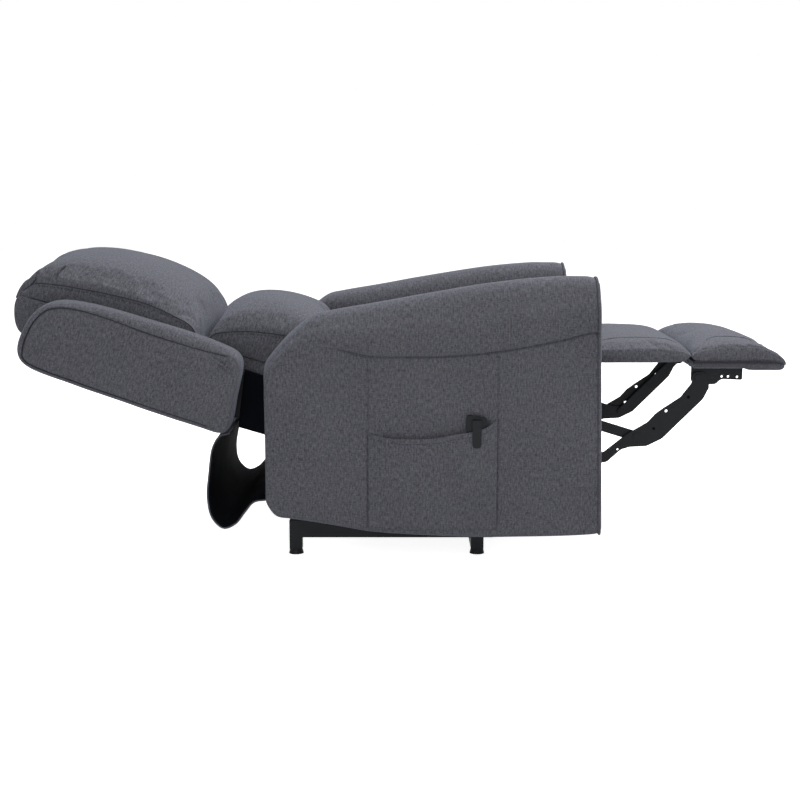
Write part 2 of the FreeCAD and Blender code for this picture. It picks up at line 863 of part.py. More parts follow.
def arms():
    stations = arm_stations()
    lean = float(size.front_lean)
    wires = [arm_section(*station) for station in stations[:-2]]
    wires += [arm_section(*station, lean=lean) for station in stations[-2:]]
    blank = solid_between("arm_blank", wires, ruled=True)
    hollow = arm_hollow("arm_hollow", 0.0, 0.0, 0.0)
    outer = size.half_width - size.panel_inset
    grooves = [
        box(
            f"panel_seam_{number}",
            (x - size.seam_width / 2, x + size.seam_width / 2),
            (outer - size.seam_depth, outer + size.seam_depth),
            (0, size.roll_middle - 2),
        )
        for number, x in enumerate((size.seam_rear, size.seam_front))
    ]
    cover = cut("arm_cover", blank, [hollow, *grooves])
    node(cover, "left_arm_cover")
    node(mirrored("arm_cover_right", cover), "right_arm_cover")

    gap = float(size.frame_gap)
    core = arm_hollow("arm_frame_core", gap, gap, gap)
    windows = [
        box(
            "arm_frame_window_rear",
            (size.arm_rear + 60, size.arm_middle - 80),
            (0, size.half_width),
            (size.panel_bend_bottom + 44, size.ridge_bend - 151),
        ),
        box(
            "arm_frame_window_front",
            (size.arm_middle - 20, size.arm_front - 58),
            (0, size.half_width),
            (size.panel_bottom + 59, size.ridge_crest - 186),
        ),
    ]
    frame = cut("arm_frame", core, windows)
    node(frame, "left_arm_frame")
    node(mirrored("arm_frame_right", frame), "right_arm_frame")

    front = size.arm_front + 0.2
    outline = stations[-1][1:]
    facing = solid_between(
        "arm_facing",
        [
            arm_section(front, *outline, lean=lean),
            arm_section(front + size.facing_thickness * 0.6, *outline, inset=2.0, lean=lean),
            arm_section(front + size.facing_thickness, *outline, inset=10.0, lean=lean),
        ],
        ruled=True,
    )
    node(facing, "left_arm_facing")
    node(mirrored("arm_facing_right", facing), "right_arm_facing")


# Side pocket and handset on the right arm


def pocket():
    face = size.half_width - size.panel_inset
    rear = size.seam_rear + 1
    front = size.seam_front - 1
    edge = size.pocket_edge
    outside = outline_curves(
        [
            (rear, size.pocket_bottom, 4),
            (front, size.pocket_bottom, 4),
            (front, size.pocket_front_height + 4, 0),
            (size.handset_x + 10, size.pocket_front_height - 16, 0),
            ((rear + front) / 2, size.pocket_middle_height + 2, 0),
            (rear + 90, size.pocket_middle_height, 0),
            (rear, size.pocket_rear_height, 0),
        ]
    )
    blank = side_plate("pocket_blank", [outside], face, size.pocket_depth)
    inside = box(
        "pocket_inside",
        (rear + edge, front - edge),
        (face - 1, face + size.pocket_depth - size.pocket_wall),
        (size.pocket_bottom + edge, size.pocket_front_height + 40),
    )
    left = cut("pocket_left", blank, [inside])
    node(mirrored("handset_pocket", left), "handset_pocket")


def handset():
    face = size.half_width - size.panel_inset
    inner = face + size.button_height + 0.8
    outer = inner + size.handset_thickness
    half = size.handset_width / 2
    bottom = size.handset_top - size.handset_length
    case = side_plate(
        "handset_blank",
        [
            outline_curves(
                [
                    (size.handset_x - half + 5, bottom, 10),
                    (size.handset_x + half - 5, bottom, 10),
                    (size.handset_x + half, size.handset_top - 8, 9),
                    (size.handset_x - half, size.handset_top, 9),
                ]
            )
        ],
        inner,
        size.handset_thickness,
        holes=[
            (size.handset_x + sx * 11, size.handset_top - drop, size.button_radius + 0.3)
            for sx in (-1, 1)
            for drop in (36, 66)
        ],
    )
    back = box(
        "handset_back",
        (size.handset_x - half + 6, size.handset_x + half - 6),
        (inner + 4, outer),
        (bottom + 12, size.handset_top - 14),
    )
    left_case = fuse("handset_case_left", [case, back])
    node(mirrored("handset_case", left_case), "handset_case")

    buttons = []
    for number, (sx, drop) in enumerate((sx, drop) for drop in (36, 66) for sx in (-1, 1)):
        left = cross_rod(
            f"button_{number}_left",
            size.button_radius,
            size.handset_x + sx * 11,
            (inner - size.button_height, inner + 2.8),
            size.handset_top - drop,
        )
        buttons.append(node(mirrored(f"handset_button_{number + 1}", left), f"handset_button_{number + 1}"))

    strip = size.clip_width / 2
    x = (size.handset_x - strip, size.handset_x + strip)
    front_face = face + size.pocket_depth + 1.5
    bridge = box("clip_bridge", x, (outer, front_face + size.clip_thickness), (size.pocket_front_height - 2,
                                                                         size.pocket_front_height + 4))
    tongue = side_plate(
        "clip_tongue",
        [
            outline_curves(
                [
                    (size.handset_x - strip, size.clip_bottom, 8),
                    (size.handset_x + strip, size.clip_bottom, 8),
                    (size.handset_x + strip, size.pocket_front_height + 4, 0),
                    (size.handset_x - strip, size.pocket_front_height + 4, 0),
                ]
            )
        ],
        front_face,
        size.clip_thickness,
    )
    clip = fuse("handset_clip_left", [bridge, tongue])
    node(mirrored("handset_clip", clip), "handset_clip")


# Footrest linkage and pads


def footrest_links():
    crank = side_plate(
        "drive_crank",
        [
            capsule_curves(crank_pivot, elbow_pivot, size.footlink_half_width),
            capsule_curves(elbow_pivot, twin_elbow_pivot, size.footlink_half_width),
        ],
        crank_layer,
        link,
        holes=[(*crank_pivot, running_hole)],
    )
    tube = cross_rod("crank_torque_tube", size.torque_tube_radius, crank_pivot[0], (-crank_layer, crank_layer),
                     crank_pivot[1])
    bore = cross_rod("crank_torque_bore", running_hole, crank_pivot[0], (-crank_layer - 1, crank_layer + 1),
                     crank_pivot[1])
    elbow_pin = cross_rod("elbow_pin", size.pin_radius, elbow_pivot[0],
                          (crank_layer + link, long_link_layer + link + 1), elbow_pivot[1])
    elbow_head = cross_rod("elbow_pin_head", size.pin_radius + 4, elbow_pivot[0],
                           (long_link_layer + link + 0.3, long_link_layer + link + 2), elbow_pivot[1])
    twin_pin = cross_rod("twin_elbow_pin", size.pin_radius, twin_elbow_pivot[0],
                         (twin_link_layer - 1, crank_layer), twin_elbow_pivot[1])
    side = fuse("drive_crank_side", [crank, elbow_pin, elbow_head, twin_pin])
    sides = both_sides("drive_crank_sides", [side])
    node(group("drive_cranks", [sides, cut("torque_tube", tube, [bore])]), "drive_cranks")

    rear_crank = side_plate(
        "rear_crank",
        [capsule_curves(rear_crank_pivot, tail_pivot, size.footlink_half_width)],
        crank_layer,
        link,
        holes=[(*rear_crank_pivot, running_hole)],
    )
    tail_pin = cross_rod("tail_pin", size.pin_radius, tail_pivot[0], (crank_layer + link, long_link_layer + link + 1),
                         tail_pivot[1])
    node(both_sides("rear_cranks", [fuse("rear_crank_side", [rear_crank, tail_pin])]), "rear_cranks")

    toe_x, toe_z = toe_pivot
    elbow_x, elbow_z = elbow_pivot
    tail_x, tail_z = tail_pivot
    long_link = side_plate(
        "long_link",
        [
            outline_curves(
                [
                    (toe_x - 14, toe_z + 14, 12),
                    (toe_x - 15, toe_z - 12, 10),
                    (toe_x - 40, toe_z - 45, 20),
                    (elbow_x + 62, elbow_z + 69, 30),
                    (elbow_x + 43, elbow_z + 55, 20),
                    (elbow_x + 25, elbow_z + 35, 20),
                    (elbow_x - 24, elbow_z + 6, 30),
                    (tail_x + 8, tail_z + 14, 20),
                    (tail_x - 12, tail_z + 5, 9),
                    (tail_x - 8, tail_z - 14, 11),
                    (tail_x + 14, tail_z - 11, 12),
                    (elbow_x - 36, elbow_z - 30, 20),
                    (elbow_x - 16, elbow_z - 24, 14),
                    (elbow_x + 24, elbow_z - 22, 26),
                    (elbow_x + 60, elbow_z - 4, 30),
                    (toe_x + 12, toe_z - 50, 30),
                    (toe_x + 26, toe_z - 22, 12),
                    (toe_x + 18, toe_z + 14, 14),
                ]
            )
        ],
        long_link_layer,
        link,
        holes=[
            (*tail_pivot, running_hole),
            (*elbow_pivot, running_hole),
            (*toe_pivot, running_hole),
            (toe_x - 22, toe_z - 45, 3.5),
            (elbow_x + 68, elbow_z + 62, 3.5),
            (elbow_x + 40, elbow_z + 20, 3.5),
            (elbow_x - 44, elbow_z - 30, 2.5),
        ],
    )
    node(both_sides("long_footrest_links", [long_link]), "long_footrest_links")

    twin = side_plate(
        "twin_link",
        [capsule_curves(twin_elbow_pivot, twin_toe_pivot, size.footlink_half_width - 2)],
        twin_link_layer,
        link,
        holes=[(*twin_elbow_pivot, running_hole), (*twin_toe_pivot, running_hole)],
    )
    node(both_sides("twin_footrest_links", [twin]), "twin_footrest_links")


def ottoman_brackets():
    rear, front = size.bracket_rear, size.bracket_front
    row = size.board_bottom - 25
    slots = [(front - 12, row - 1, 3), (front - 33, row, 3), (front - 48, row, 3)]
    web = side_plate(
        "ottoman_bracket_web",
        [
            outline_curves(
                [
                    (rear, size.board_bottom, 0),
                    (rear, size.toe_z - 13, 12),
                    (twin_toe_pivot[0] - 4, twin_toe_pivot[1] - 13, 10),
                    (twin_toe_pivot[0] + 14, twin_toe_pivot[1] - 12, 12),
                    (twin_toe_pivot[0] + 26, size.bracket_bottom, 14),
                    (front, size.bracket_bottom - 2, 4),
                    (front, size.board_bottom, 0),
                ]
            )
        ],
        crank_layer,
        link,
        holes=slots,
    )
    flange = box("ottoman_bracket_flange", (rear, front), (crank_layer - 26, crank_layer + link),
                 (size.board_bottom - 3, size.board_bottom))
    toe_pin = cross_rod("toe_pin", size.pin_radius, toe_pivot[0], (crank_layer + link, long_link_layer + link + 1),
                        toe_pivot[1])
    toe_head = cross_rod("toe_pin_head", size.pin_radius + 4, toe_pivot[0],
                         (long_link_layer + link + 0.3, long_link_layer + link + 2), toe_pivot[1])
    twin_pin = cross_rod("twin_toe_pin", size.pin_radius, twin_toe_pivot[0], (twin_link_layer - 1, crank_layer),
                         twin_toe_pivot[1])
    side = fuse("ottoman_bracket_side", [web, flange, toe_pin, toe_head, twin_pin])
    node(both_sides("ottoman_brackets", [side]), "ottoman_brackets")


def footrest_pads():
    board = box("ottoman_board", (size.board_rear, size.board_front), (-size.pad_half_width, size.pad_half_width),
                (size.board_bottom, size.board_bottom + size.board_thickness))
    node(board, "ottoman_board")
    half = size.pad_half_width
    bottom, top = size.pad_bottom, size.pad_top
    valley = size.pad_valley
    chaise = [
        (size.chaise_rear, bottom + 14, top - 22, 0),
        (size.chaise_rear + 6, bottom + 5, top - 10, 3),
        (size.chaise_rear + 34, bottom, top - 2, 10),
        ((size.chaise_rear + valley) / 2, bottom, top, 18),
        (valley - 66, bottom, top - 1, 16),
        (valley - 22, bottom + 2, top - 8, 9),
        (valley - 6, bottom + 4, top - 16, 4),
        (valley - size.soft_gap / 2, bottom + 8, top - 26, 0),
    ]
    ottoman = [
        (valley + size.soft_gap / 2, bottom + 8, top - 26, 0),
        (valley + 6, bottom + 1, top - 12, 5),
        (valley + 28, bottom, top - 4, 14),
        (valley + 70, bottom, top + 1, 20),
        (valley + 126, bottom, top + 2, 18),
        (size.pad_tip - 58, bottom, top - 6, 10),
        (size.pad_tip - 28, bottom, top - 24, 6),
        (size.pad_tip - 8, bottom, top - 36, 2),
        (size.pad_tip, bottom + 2, top - 41, 0),
    ]
    for label, stations in (("chaise_pad", chaise), ("ottoman_pad", ottoman)):
        wires = [cushion_section(x, low, high, half, crown) for x, low, high, crown in stations]
        node(solid_between(label, wires, ruled=True), label)


# Back, modelled upright with the recline shaft at its origin, then leaned to its place


def lean_back(piece):
    """Place a piece of the back: its own X runs out of the back and its own Z up along it."""
    piece.Placement = Placement(
        Vector(float(size.recline_x), 0, float(size.recline_z)),
        Rotation(Vector(0, 1, 0), float(size.back_lean) - 90),
    )
    return piece


def back_frame():
    outer = size.core_half_width
    inner = outer - size.frame_rail_width
    depth = (size.frame_rear, size.frame_front)
    rails = [
        box("left_back_rail", depth, (inner, outer), (size.frame_bottom, size.frame_top)),
        box("right_back_rail", depth, (-outer, -inner), (size.frame_bottom, size.frame_top)),
    ]
    thin = (size.frame_rear, size.frame_rear + size.cross_rail_thickness)
    for name, x, bottom, top in (
        ("top_back_rail", depth, size.frame_top - 40, size.frame_top),
        ("middle_back_rail", thin, size.frame_bottom + 278, size.frame_bottom + 338),
        ("low_back_rail", thin, size.frame_bottom + 70, size.frame_bottom + 130),
    ):
        rails.append(box(name, x, (-inner, inner), (bottom, top)))
    return node(lean_back(group("back_frame", rails)), "back_frame")


def back_brackets():
    inner = size.core_half_width - size.frame_rail_width - size.bracket_thickness
    bracket = side_plate(
        "back_bracket",
        [
            outline_curves(
                [
                    (-24, -22, 20),
                    (22, -22, 20),
                    (22, 30, 16),
                    (size.frame_front, size.back_pad_bottom - 6, 12),
                    (size.frame_front, size.bracket_reach, 10),
                    (size.frame_rear + 20, size.bracket_reach, 10),
                    (size.frame_rear + 20, size.frame_bottom + 20, 16),
                ]
            )
        ],
        inner,
        size.bracket_thickness,
        holes=[(0, 0, size.shaft_radius)],
    )
    pair = both_sides("back_brackets", [bracket])
    return node(lean_back(pair), "back_brackets")


def recline_shaft():
    reach = size.core_half_width - size.frame_rail_width
    shaft = cross_rod("shaft_bar", size.shaft_radius, 0, (-reach, reach), 0)
    collar_y = plate_layer + link + 0.3
    collar = cross_rod("shaft_collar", size.shaft_radius + 5, 0, (collar_y, reach - size.bracket_thickness), 0)
    return node(lean_back(fuse("recline_shaft", [shaft, collar, mirrored("shaft_collar_right", collar)])),
                "recline_shaft")


def recline_lever():
    """The slotted lever on the recline shaft that the back motor's rod pushes."""
    turn = float(90 - size.back_lean) - float(size.lever_angle)
    start = float(size.lever_height) - 6
    end = float(size.lever_height) / math.cos(math.radians(float(size.lever_angle))) + 6
    direction = Vector(-math.sin(math.radians(turn)), -math.cos(math.radians(turn)), 0)
    a = direction * start
    b = direction * end
    slot = size.pin_radius + size.slot_play
    lever = side_plate(
        "recline_lever_blank",
        [capsule_curves((0, 0), (b.x, b.y), 17)],
        size.back_motor_y - size.lever_thickness / 2,
        size.lever_thickness,
        holes=[(0, 0, size.shaft_radius)],
        windows=[capsule_curves((a.x, a.y), (b.x, b.y), slot)],
    )
    return node(lean_back(group("recline_lever", [lever])), "recline_lever")


def back_lining():
    inner = size.core_half_width
    lining = side_plate(
        "lining",
        [
            outline_curves(
                [
                    (size.frame_rear - 21, size.frame_bottom, 12),
                    (4, size.frame_bottom - 6, 14),
                    (10, size.lining_top, 10),
                    (size.frame_rear - 21, size.wing_bottom - 24, 10),
                ]
            )
        ],
        inner,
        size.lining_thickness,
    )
    return node(lean_back(both_sides("back_side_lining", [lining])), "back_side_lining")


def outer_back_panel():
    gap = float(size.soft_gap)
    half = float(size.wing_inner) - gap
    rear = float(size.frame_rear)
    thick = float(size.rear_panel_thickness)
    low, high = float(size.wing_bottom) - 14, float(size.wing_top) - 12
    middle = (low + high) / 2
    wire = section(
        (rear - gap, low),
        [
            (rear - gap, high - 60),
            (rear + 28, high - 18, rear + 68, high),
            (rear + 59, high + thick),
            (rear + 11, high, rear - thick - 4, high - 60),
            (rear - thick - 12, middle, rear - thick - 6, low),
            (rear - gap, low),
        ],
        lambda n, u: Vector(n, -half, u),
    )
    panel = extruded("outer_back_panel", wire, Vector(0, 2 * half, 0))
    return node(lean_back(panel), "outer_back_panel")


def back_pad():
    """The padded inner back that carries both pillows, rolled over at the top."""
    half = float(size.wing_inner) - float(size.soft_gap)
    low, high = float(size.back_pad_bottom), float(size.back_pad_top)
    front = float(size.back_pad_thickness)
    rear = float(size.frame_front) + float(size.soft_gap)
    wire = section(
        (rear, low + 130),
        [
            (rear + 2, low + 4),
            (front * 0.7, low - 2, front, low + 14),
            (front, high - 26),
            (front - 10, high - 6, 4, high),
            (-24, high - 8, -34, high - 30),
            (-30, high - 56, rear, high - 60),
            (rear, low + 130),
        ],
        lambda n, u: Vector(n, -half, u),
    )
    pad = extruded("back_pad_blank", wire, Vector(0, 2 * half, 0))
    notch_inner = size.core_half_width - 6
    notches = [
        box("left_pad_notch", (-60, 80), (notch_inner, size.wing_outer), (0, size.lining_top + 4)),
        box("right_pad_notch", (-60, 80), (-size.wing_outer, -notch_inner), (0, size.lining_top + 4)),
    ]
    trimmed = cut("back_pad", pad, notches)
    return node(lean_back(trimmed), "back_pad")


def wings():
    """The padded side bolsters of the back; the outline is in shares of their depth and height."""
    bottom, rear = float(size.wing_bottom), float(size.wing_rear)
    height = float(size.wing_top) - bottom
    depth = float(size.wing_front) - rear
    outline = [
        (0.806, -0.006),
        (0.898, 0.012, 0.944, 0.041),
        (1.005, 0.267, 1.010, 0.630),
        (0.939, 0.852, 0.816, 0.930),
        (0.663, 0.984, 0.434, 1.0),
        (0.245, 0.992, 0.173, 0.955),
        (0.061, 0.815, 0.026, 0.478),
        (-0.010, 0.246, -0.020, 0.012),
        (0.020, -0.021, 0.133, -0.029),
    ]
    wires = []
    for share, narrow, low in (
        (0.0, 0.911, 0.967),
        (0.14, 0.978, 0.992),
        (0.42, 1.0, 1.0),
        (0.78, 0.978, 0.992),
        (0.93, 0.933, 0.975),
        (1.0, 0.867, 0.95),
    ):
        y = float(size.wing_inner) + share * float(size.wing_thickness)

        def place(across, along, y=y, narrow=narrow, low=low):
            return Vector(
                rear + depth * (0.5 + (across - 0.5) * narrow), y, bottom + height * (0.5 + (along - 0.5) * low)
            )

        wires.append(section((0.133, -0.029), outline, place))
    wing = lean_back(solid_between("wing", wires, ruled=True))
    node(wing, "left_wing")
    node(mirrored("wing_right", wing), "right_wing")


def pillow(label, start, steps, half, swell):
    """A stuffed pillow on the back: one profile, thinner and shorter from below towards both ends."""
    base = float(start[0])
    top = max([start[1]] + [step[-1] for step in steps])
    wires = []
    for share, depth, height in swell:
        def place(n, u, share=share, depth=depth, height=height):
            return Vector(base + (n - base) * depth, half * share, top + (u - top) * height)

        wires.append(section(start, steps, place))
    return node(lean_back(solid_between(label, wires, ruled=True)), label)


def pillows():
    swell = [
        (-1.0, 0.42, 0.885),
        (-0.98, 0.56, 0.9),
        (-0.92, 0.7, 0.91),
        (-0.8, 0.81, 0.93),
        (-0.6, 0.9, 0.965),
        (-0.35, 0.975, 0.99),
        (0.0, 1.0, 1.0),
        (0.35, 0.975, 0.99),
        (0.6, 0.9, 0.965),
        (0.8, 0.81, 0.93),
        (0.92, 0.7, 0.91),
        (0.98, 0.56, 0.9),
        (1.0, 0.42, 0.885),
    ]
    base = float(size.back_pad_thickness) + float(size.soft_gap)
    low, high = float(size.head_pillow_bottom), float(size.head_pillow_top)
    depth = float(size.head_pillow_depth)
    pillow(
        "head_pillow",
        (base, low + 2),
        [
            (base + depth * 0.26, low + 1, base + depth * 0.47, low + 18),
            (base + depth * 0.74, low + 60, base + depth * 0.89, low + 115),
            (base + depth, low + 205, base + depth * 0.965, low + 295),
            (base + depth * 0.87, low + 355, base + depth * 0.59, high - 21),
            (base + depth * 0.34, high - 1, base, high - 8),
            (base, low + 2),
        ],
        float(size.head_pillow_half_width),
        swell,
    )
    low = float(size.lumbar_bottom)
    high = float(size.head_pillow_bottom) - 1
    depth = float(size.lumbar_depth)
    pillow(
        "lumbar_pillow",
        (base, low + 46),
        [
            (base + depth * 0.3, low + 8, base + depth * 0.66, low + 1),
            (base + depth * 0.9, low + 10, base + depth * 0.985, low + 46),
            (base + depth * 1.0, low + 110, base + depth * 0.96, low + 166),
            (base + depth * 0.82, high - 40, base + depth * 0.62, high - 8),
            (base + depth * 0.46, high + 4, base + depth * 0.3, high - 1),
            (base, high - 3),
            (base, low + 46),
        ],
        float(size.lumbar_half_width),
        swell,
    )


# Rear skirt: one sheet that hangs in a slack loop from the back to the rear of the arms


def rear_skirt():
    """The slack loop, in shares of its reach to the arm and of its drop."""
    half = float(size.skirt_half_width)
    thick = float(size.skirt_thickness)
    start_x, start_z = float(size.skirt_start_x), float(size.skirt_start_z)
    reach = float(size.arm_rear - size.soft_gap) - start_x
    drop = float(size.skirt_drop)
    line = [
        (0.0, 0.0),
        (-0.27, 0.025),
        (-0.478, 0.148),
        (-0.6, 0.446),
        (-0.65, 0.698),
        (-0.539, 0.89),
        (-0.22, 1.0),
        (0.098, 0.954),
        (0.368, 0.826),
        (0.625, 0.721),
        (1.0, 0.698),
    ]
    wires = []
    for side, sag in ((-half, 0.0), (half, -0.2 * reach)):
        points = []
        for index, (along, down) in enumerate(line):
            swing = sag * math.sin(math.pi * index / (len(line) - 1))
            points.append(Vector(start_x + along * reach + swing, side, start_z - down * drop))
        near, far = [], []
        for index, point in enumerate(points):
            before = points[max(index - 1, 0)]
            after = points[min(index + 1, len(points) - 1)]
            along = (after - before).normalize()
            across = Vector(-along.z, 0, along.x) * (thick / 2)
            near.append(point + across)
            far.append(point - across)
        loop = near + far[::-1]
        wires.append(Part.makePolygon(loop + [loop[0]]))
    return node(solid_between("rear_skirt", wires, ruled=True), "rear_skirt")


# Motors


def lift_motor():
    y = float(size.lift_motor_y)
    a = Vector(float(size.lift_motor_x), y, float(size.lift_motor_z))
    b = Vector(float(size.lift_rod_x), y, float(size.lift_rod_z))
    along = (b - a).normalize()
    side = Vector(along.z, 0, -along.x)
    eye = cross_rod("lift_housing_eye", size.eye_radius, size.lift_motor_x,
                    (size.lift_motor_y - 13.5, size.lift_motor_y + 13.5), size.lift_motor_z)
    neck = rod("lift_housing_neck", size.eye_radius - 1, a + along * 6, a + along * 30)
    tube = rod("lift_housing_tube", size.housing_radius, a + along * 23, a + along * 205)
    bore = rod("lift_housing_bore", size.rod_radius + 0.4, a + along * 45, a + along * 230)
    eye_bore = cross_rod("lift_housing_eye_bore", running_hole, size.lift_motor_x,
                         (size.lift_motor_y - 30, size.lift_motor_y + 30), size.lift_motor_z)
    gearbox = rod("lift_gearbox", size.motor_radius + 4, a + along * 30 - side * 6, a + along * 72 - side * 6)
    boss_y = size.lift_motor_y + size.motor_radius + 8
    middle = a + along * 51
    boss = rod("lift_motor_boss", size.motor_radius - 5, middle, middle + Vector(0, float(boss_y) - y, 0))
    housing = cut("lift_motor_housing", fuse("lift_housing_blank", [neck, tube, eye, gearbox, boss]), [bore, eye_bore])
    node(housing, "lift_motor_housing")
    can = rod("lift_motor_can", size.motor_radius, middle + Vector(0, float(size.motor_radius) + 8, 0),
              middle + Vector(0, float(size.motor_radius + size.motor_length), 0))
    node(can, "lift_motor_can")
    piston = rod("lift_rod_tube", size.rod_radius, a + along * 60, b - along * 8.5)
    rod_eye = cross_rod("lift_rod_eye", size.eye_radius, size.lift_rod_x,
                        (size.lift_motor_y - 12, size.lift_motor_y + 12), size.lift_rod_z)
    hole = cross_rod("lift_rod_hole", size.pin_radius + 1.3, size.lift_rod_x,
                     (size.lift_motor_y - 30, size.lift_motor_y + 30), size.lift_rod_z)
    node(fuse("lift_motor_rod", [cut("lift_rod_ring", rod_eye, [hole]), piston]), "lift_motor_rod")


def motor_mounts():
    """The cross tube under the seat with the clevises that hold both motors."""
    tube_z = size.plate_top - 17
    tube = cross_rod("motor_cross_tube", 10, size.lift_rod_x, (-plate_layer, plate_layer), tube_z)
    plates = []
    for number, y in enumerate((size.lift_motor_y + 14, size.lift_motor_y - 14 - link)):
        plates.append(
            side_plate(
                f"lift_rod_ear_{number}",
                [capsule_curves((size.lift_rod_x, tube_z), lift_rod_pivot, 12)],
                y,
                link,
                holes=[(*lift_rod_pivot, size.pin_radius)],
            )
        )
    pin = cross_rod("lift_rod_pin", size.pin_radius, size.lift_rod_x,
                    (size.lift_motor_y - 14 - link - 2, size.lift_motor_y + 14 + link + 2), size.lift_rod_z)
    drop = size.recline_z - size.lever_height
    hanger = box("back_motor_hanger", (size.lift_rod_x - 14, size.lift_rod_x + 14),
                 (size.back_motor_y - 26, size.back_motor_y + 26), (drop + size.housing_radius + 0.2, tube_z))
    node(fuse("motor_cross_member", [tube, *plates, pin, hanger]), "motor_cross_member")


def back_motor():
    y = float(size.back_motor_y)
    z = float(size.recline_z) - float(size.lever_height)
    pin_x = float(size.recline_x) + float(size.lever_height) * math.tan(math.radians(float(size.lever_angle)))
    front = 150.0
    rear = pin_x + 50
    tube = rod("back_housing_tube", size.housing_radius, (rear, y, z), (front - 5, y, z))
    bore = rod("back_housing_bore", size.rod_radius + 0.4, (rear - 20, y, z), (front - 60, y, z))
    gearbox = rod("back_gearbox", size.motor_radius + 2, (front - 45, y, z - 2), (front, y, z - 2))
    boss = rod("back_motor_boss", size.motor_radius - 5, (front - 22, y, z - 8),
               (front - 22, y - float(size.motor_radius) - 6, z - 8))
    housing = cut("back_motor_housing", fuse("back_housing_blank", [tube, gearbox, boss]), [bore])
    node(housing, "back_motor_housing")
    can = rod("back_motor_can", size.motor_radius, (front - 22, y - float(size.motor_radius) - 6, z - 8),
              (front - 22, y - float(size.motor_radius + size.motor_length) + 20, z - 8))
    node(can, "back_motor_can")
    piston = rod("back_rod_tube", size.rod_radius, (pin_x + 30, y, z), (front - 75, y, z))
    cheeks = []
    half_lever = float(size.lever_thickness) / 2
    for number, low in enumerate((y + half_lever + 0.5, y - half_lever - 0.5 - 5)):
        cheeks.append(
            side_plate(
                f"rod_fork_cheek_{number}",
                [capsule_curves((pin_x, z), (pin_x + 34, z), 11)],
                low,
                5,
            )
        )
    neck = box("rod_fork_neck", (pin_x + 26, pin_x + 36), (y - half_lever - 5.5, y + half_lever + 5.5), (z - 10, z + 10))
    pin = cross_rod("rod_fork_pin", size.pin_radius, pin_x, (y - half_lever - 5.5, y + half_lever + 5.5), z)
    node(fuse("back_motor_rod", [piston, *cheeks, neck, pin]), "back_motor_rod")


base_frame()
base_feet()
base_pins()
lift_links()
side_plates()
seat_pins()
seat_frame()
seat_webbing()
seat_cushion()
arms()
pocket()
handset()
footrest_links()
ottoman_brackets()
footrest_pads()
back_frame()
back_brackets()
recline_shaft()
recline_lever()
back_lining()
outer_back_panel()
back_pad()
wings()
pillows()
rear_skirt()
lift_motor()
motor_mounts()
back_motor()

document.recompute()
for item in document.Objects:
    if "Invalid" in item.State or "Error" in item.State:
        raise RuntimeError(f"{item.Label} failed: {item.State}")
for piece in nodes:
    if piece.Shape.isNull() or not piece.Shape.isValid():
        raise RuntimeError(f"{piece.Label} has no valid shape")
os.makedirs("parts", exist_ok=True)
for piece in nodes:
    piece.Shape.exportStep(f"parts/{piece.Label}.step")
    bounds = piece.Shape.BoundBox
    print(
        f"{piece.Label:24s} solids {len(piece.Shape.Solids):2d}  X {bounds.XMin:8.1f} {bounds.XMax:8.1f}"
        f"  Y {bounds.YMin:8.1f} {bounds.YMax:8.1f}  Z {bounds.ZMin:7.1f} {bounds.ZMax:7.1f}"
    )
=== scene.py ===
import json
import math

import bmesh
import bpy
from mathutils import Matrix, Vector, noise
from mathutils.bvhtree import BVHTree
from mathutils.kdtree import KDTree


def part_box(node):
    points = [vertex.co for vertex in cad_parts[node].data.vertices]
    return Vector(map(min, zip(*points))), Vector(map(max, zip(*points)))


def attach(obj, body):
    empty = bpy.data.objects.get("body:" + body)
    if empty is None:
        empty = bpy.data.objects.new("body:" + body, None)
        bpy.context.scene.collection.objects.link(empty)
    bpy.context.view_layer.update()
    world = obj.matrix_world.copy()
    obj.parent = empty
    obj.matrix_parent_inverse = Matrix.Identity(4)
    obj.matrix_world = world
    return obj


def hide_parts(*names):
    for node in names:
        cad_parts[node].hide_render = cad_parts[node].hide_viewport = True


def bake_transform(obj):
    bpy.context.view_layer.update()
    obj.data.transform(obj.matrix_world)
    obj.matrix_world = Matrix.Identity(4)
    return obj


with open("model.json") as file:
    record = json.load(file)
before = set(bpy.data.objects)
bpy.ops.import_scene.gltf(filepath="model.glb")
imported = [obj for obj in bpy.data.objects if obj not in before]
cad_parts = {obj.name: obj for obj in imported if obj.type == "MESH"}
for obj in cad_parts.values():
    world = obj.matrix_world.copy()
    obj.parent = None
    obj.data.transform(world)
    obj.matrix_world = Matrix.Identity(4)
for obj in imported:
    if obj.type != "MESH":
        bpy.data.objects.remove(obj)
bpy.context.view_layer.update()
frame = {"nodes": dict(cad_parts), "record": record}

bpy.ops.object.select_all(action="DESELECT")
scene = bpy.context.scene
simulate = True
mm = 0.001
hands = ((1, "Left"), (-1, "Right"))
print("frame loaded")


# lines and tables

def point(x, y, z):
    return Vector((x, y, z)) * mm


def evenly(points, count, closed=False):
    # count points evenly apart along the straight runs between the given ones
    marks = [0.0]
    for a, b in zip(points, points[1:]):
        marks.append(marks[-1] + (b - a).length)
    line, k = [], 0
    for i in range(count):
        goal = marks[-1] * i / (count if closed else count - 1)
        while k < len(points) - 2 and marks[k + 1] < goal:
            k += 1
        span = marks[k + 1] - marks[k]
        line.append(points[k].lerp(points[k + 1], (goal - marks[k]) / span if span else 0))
    return line


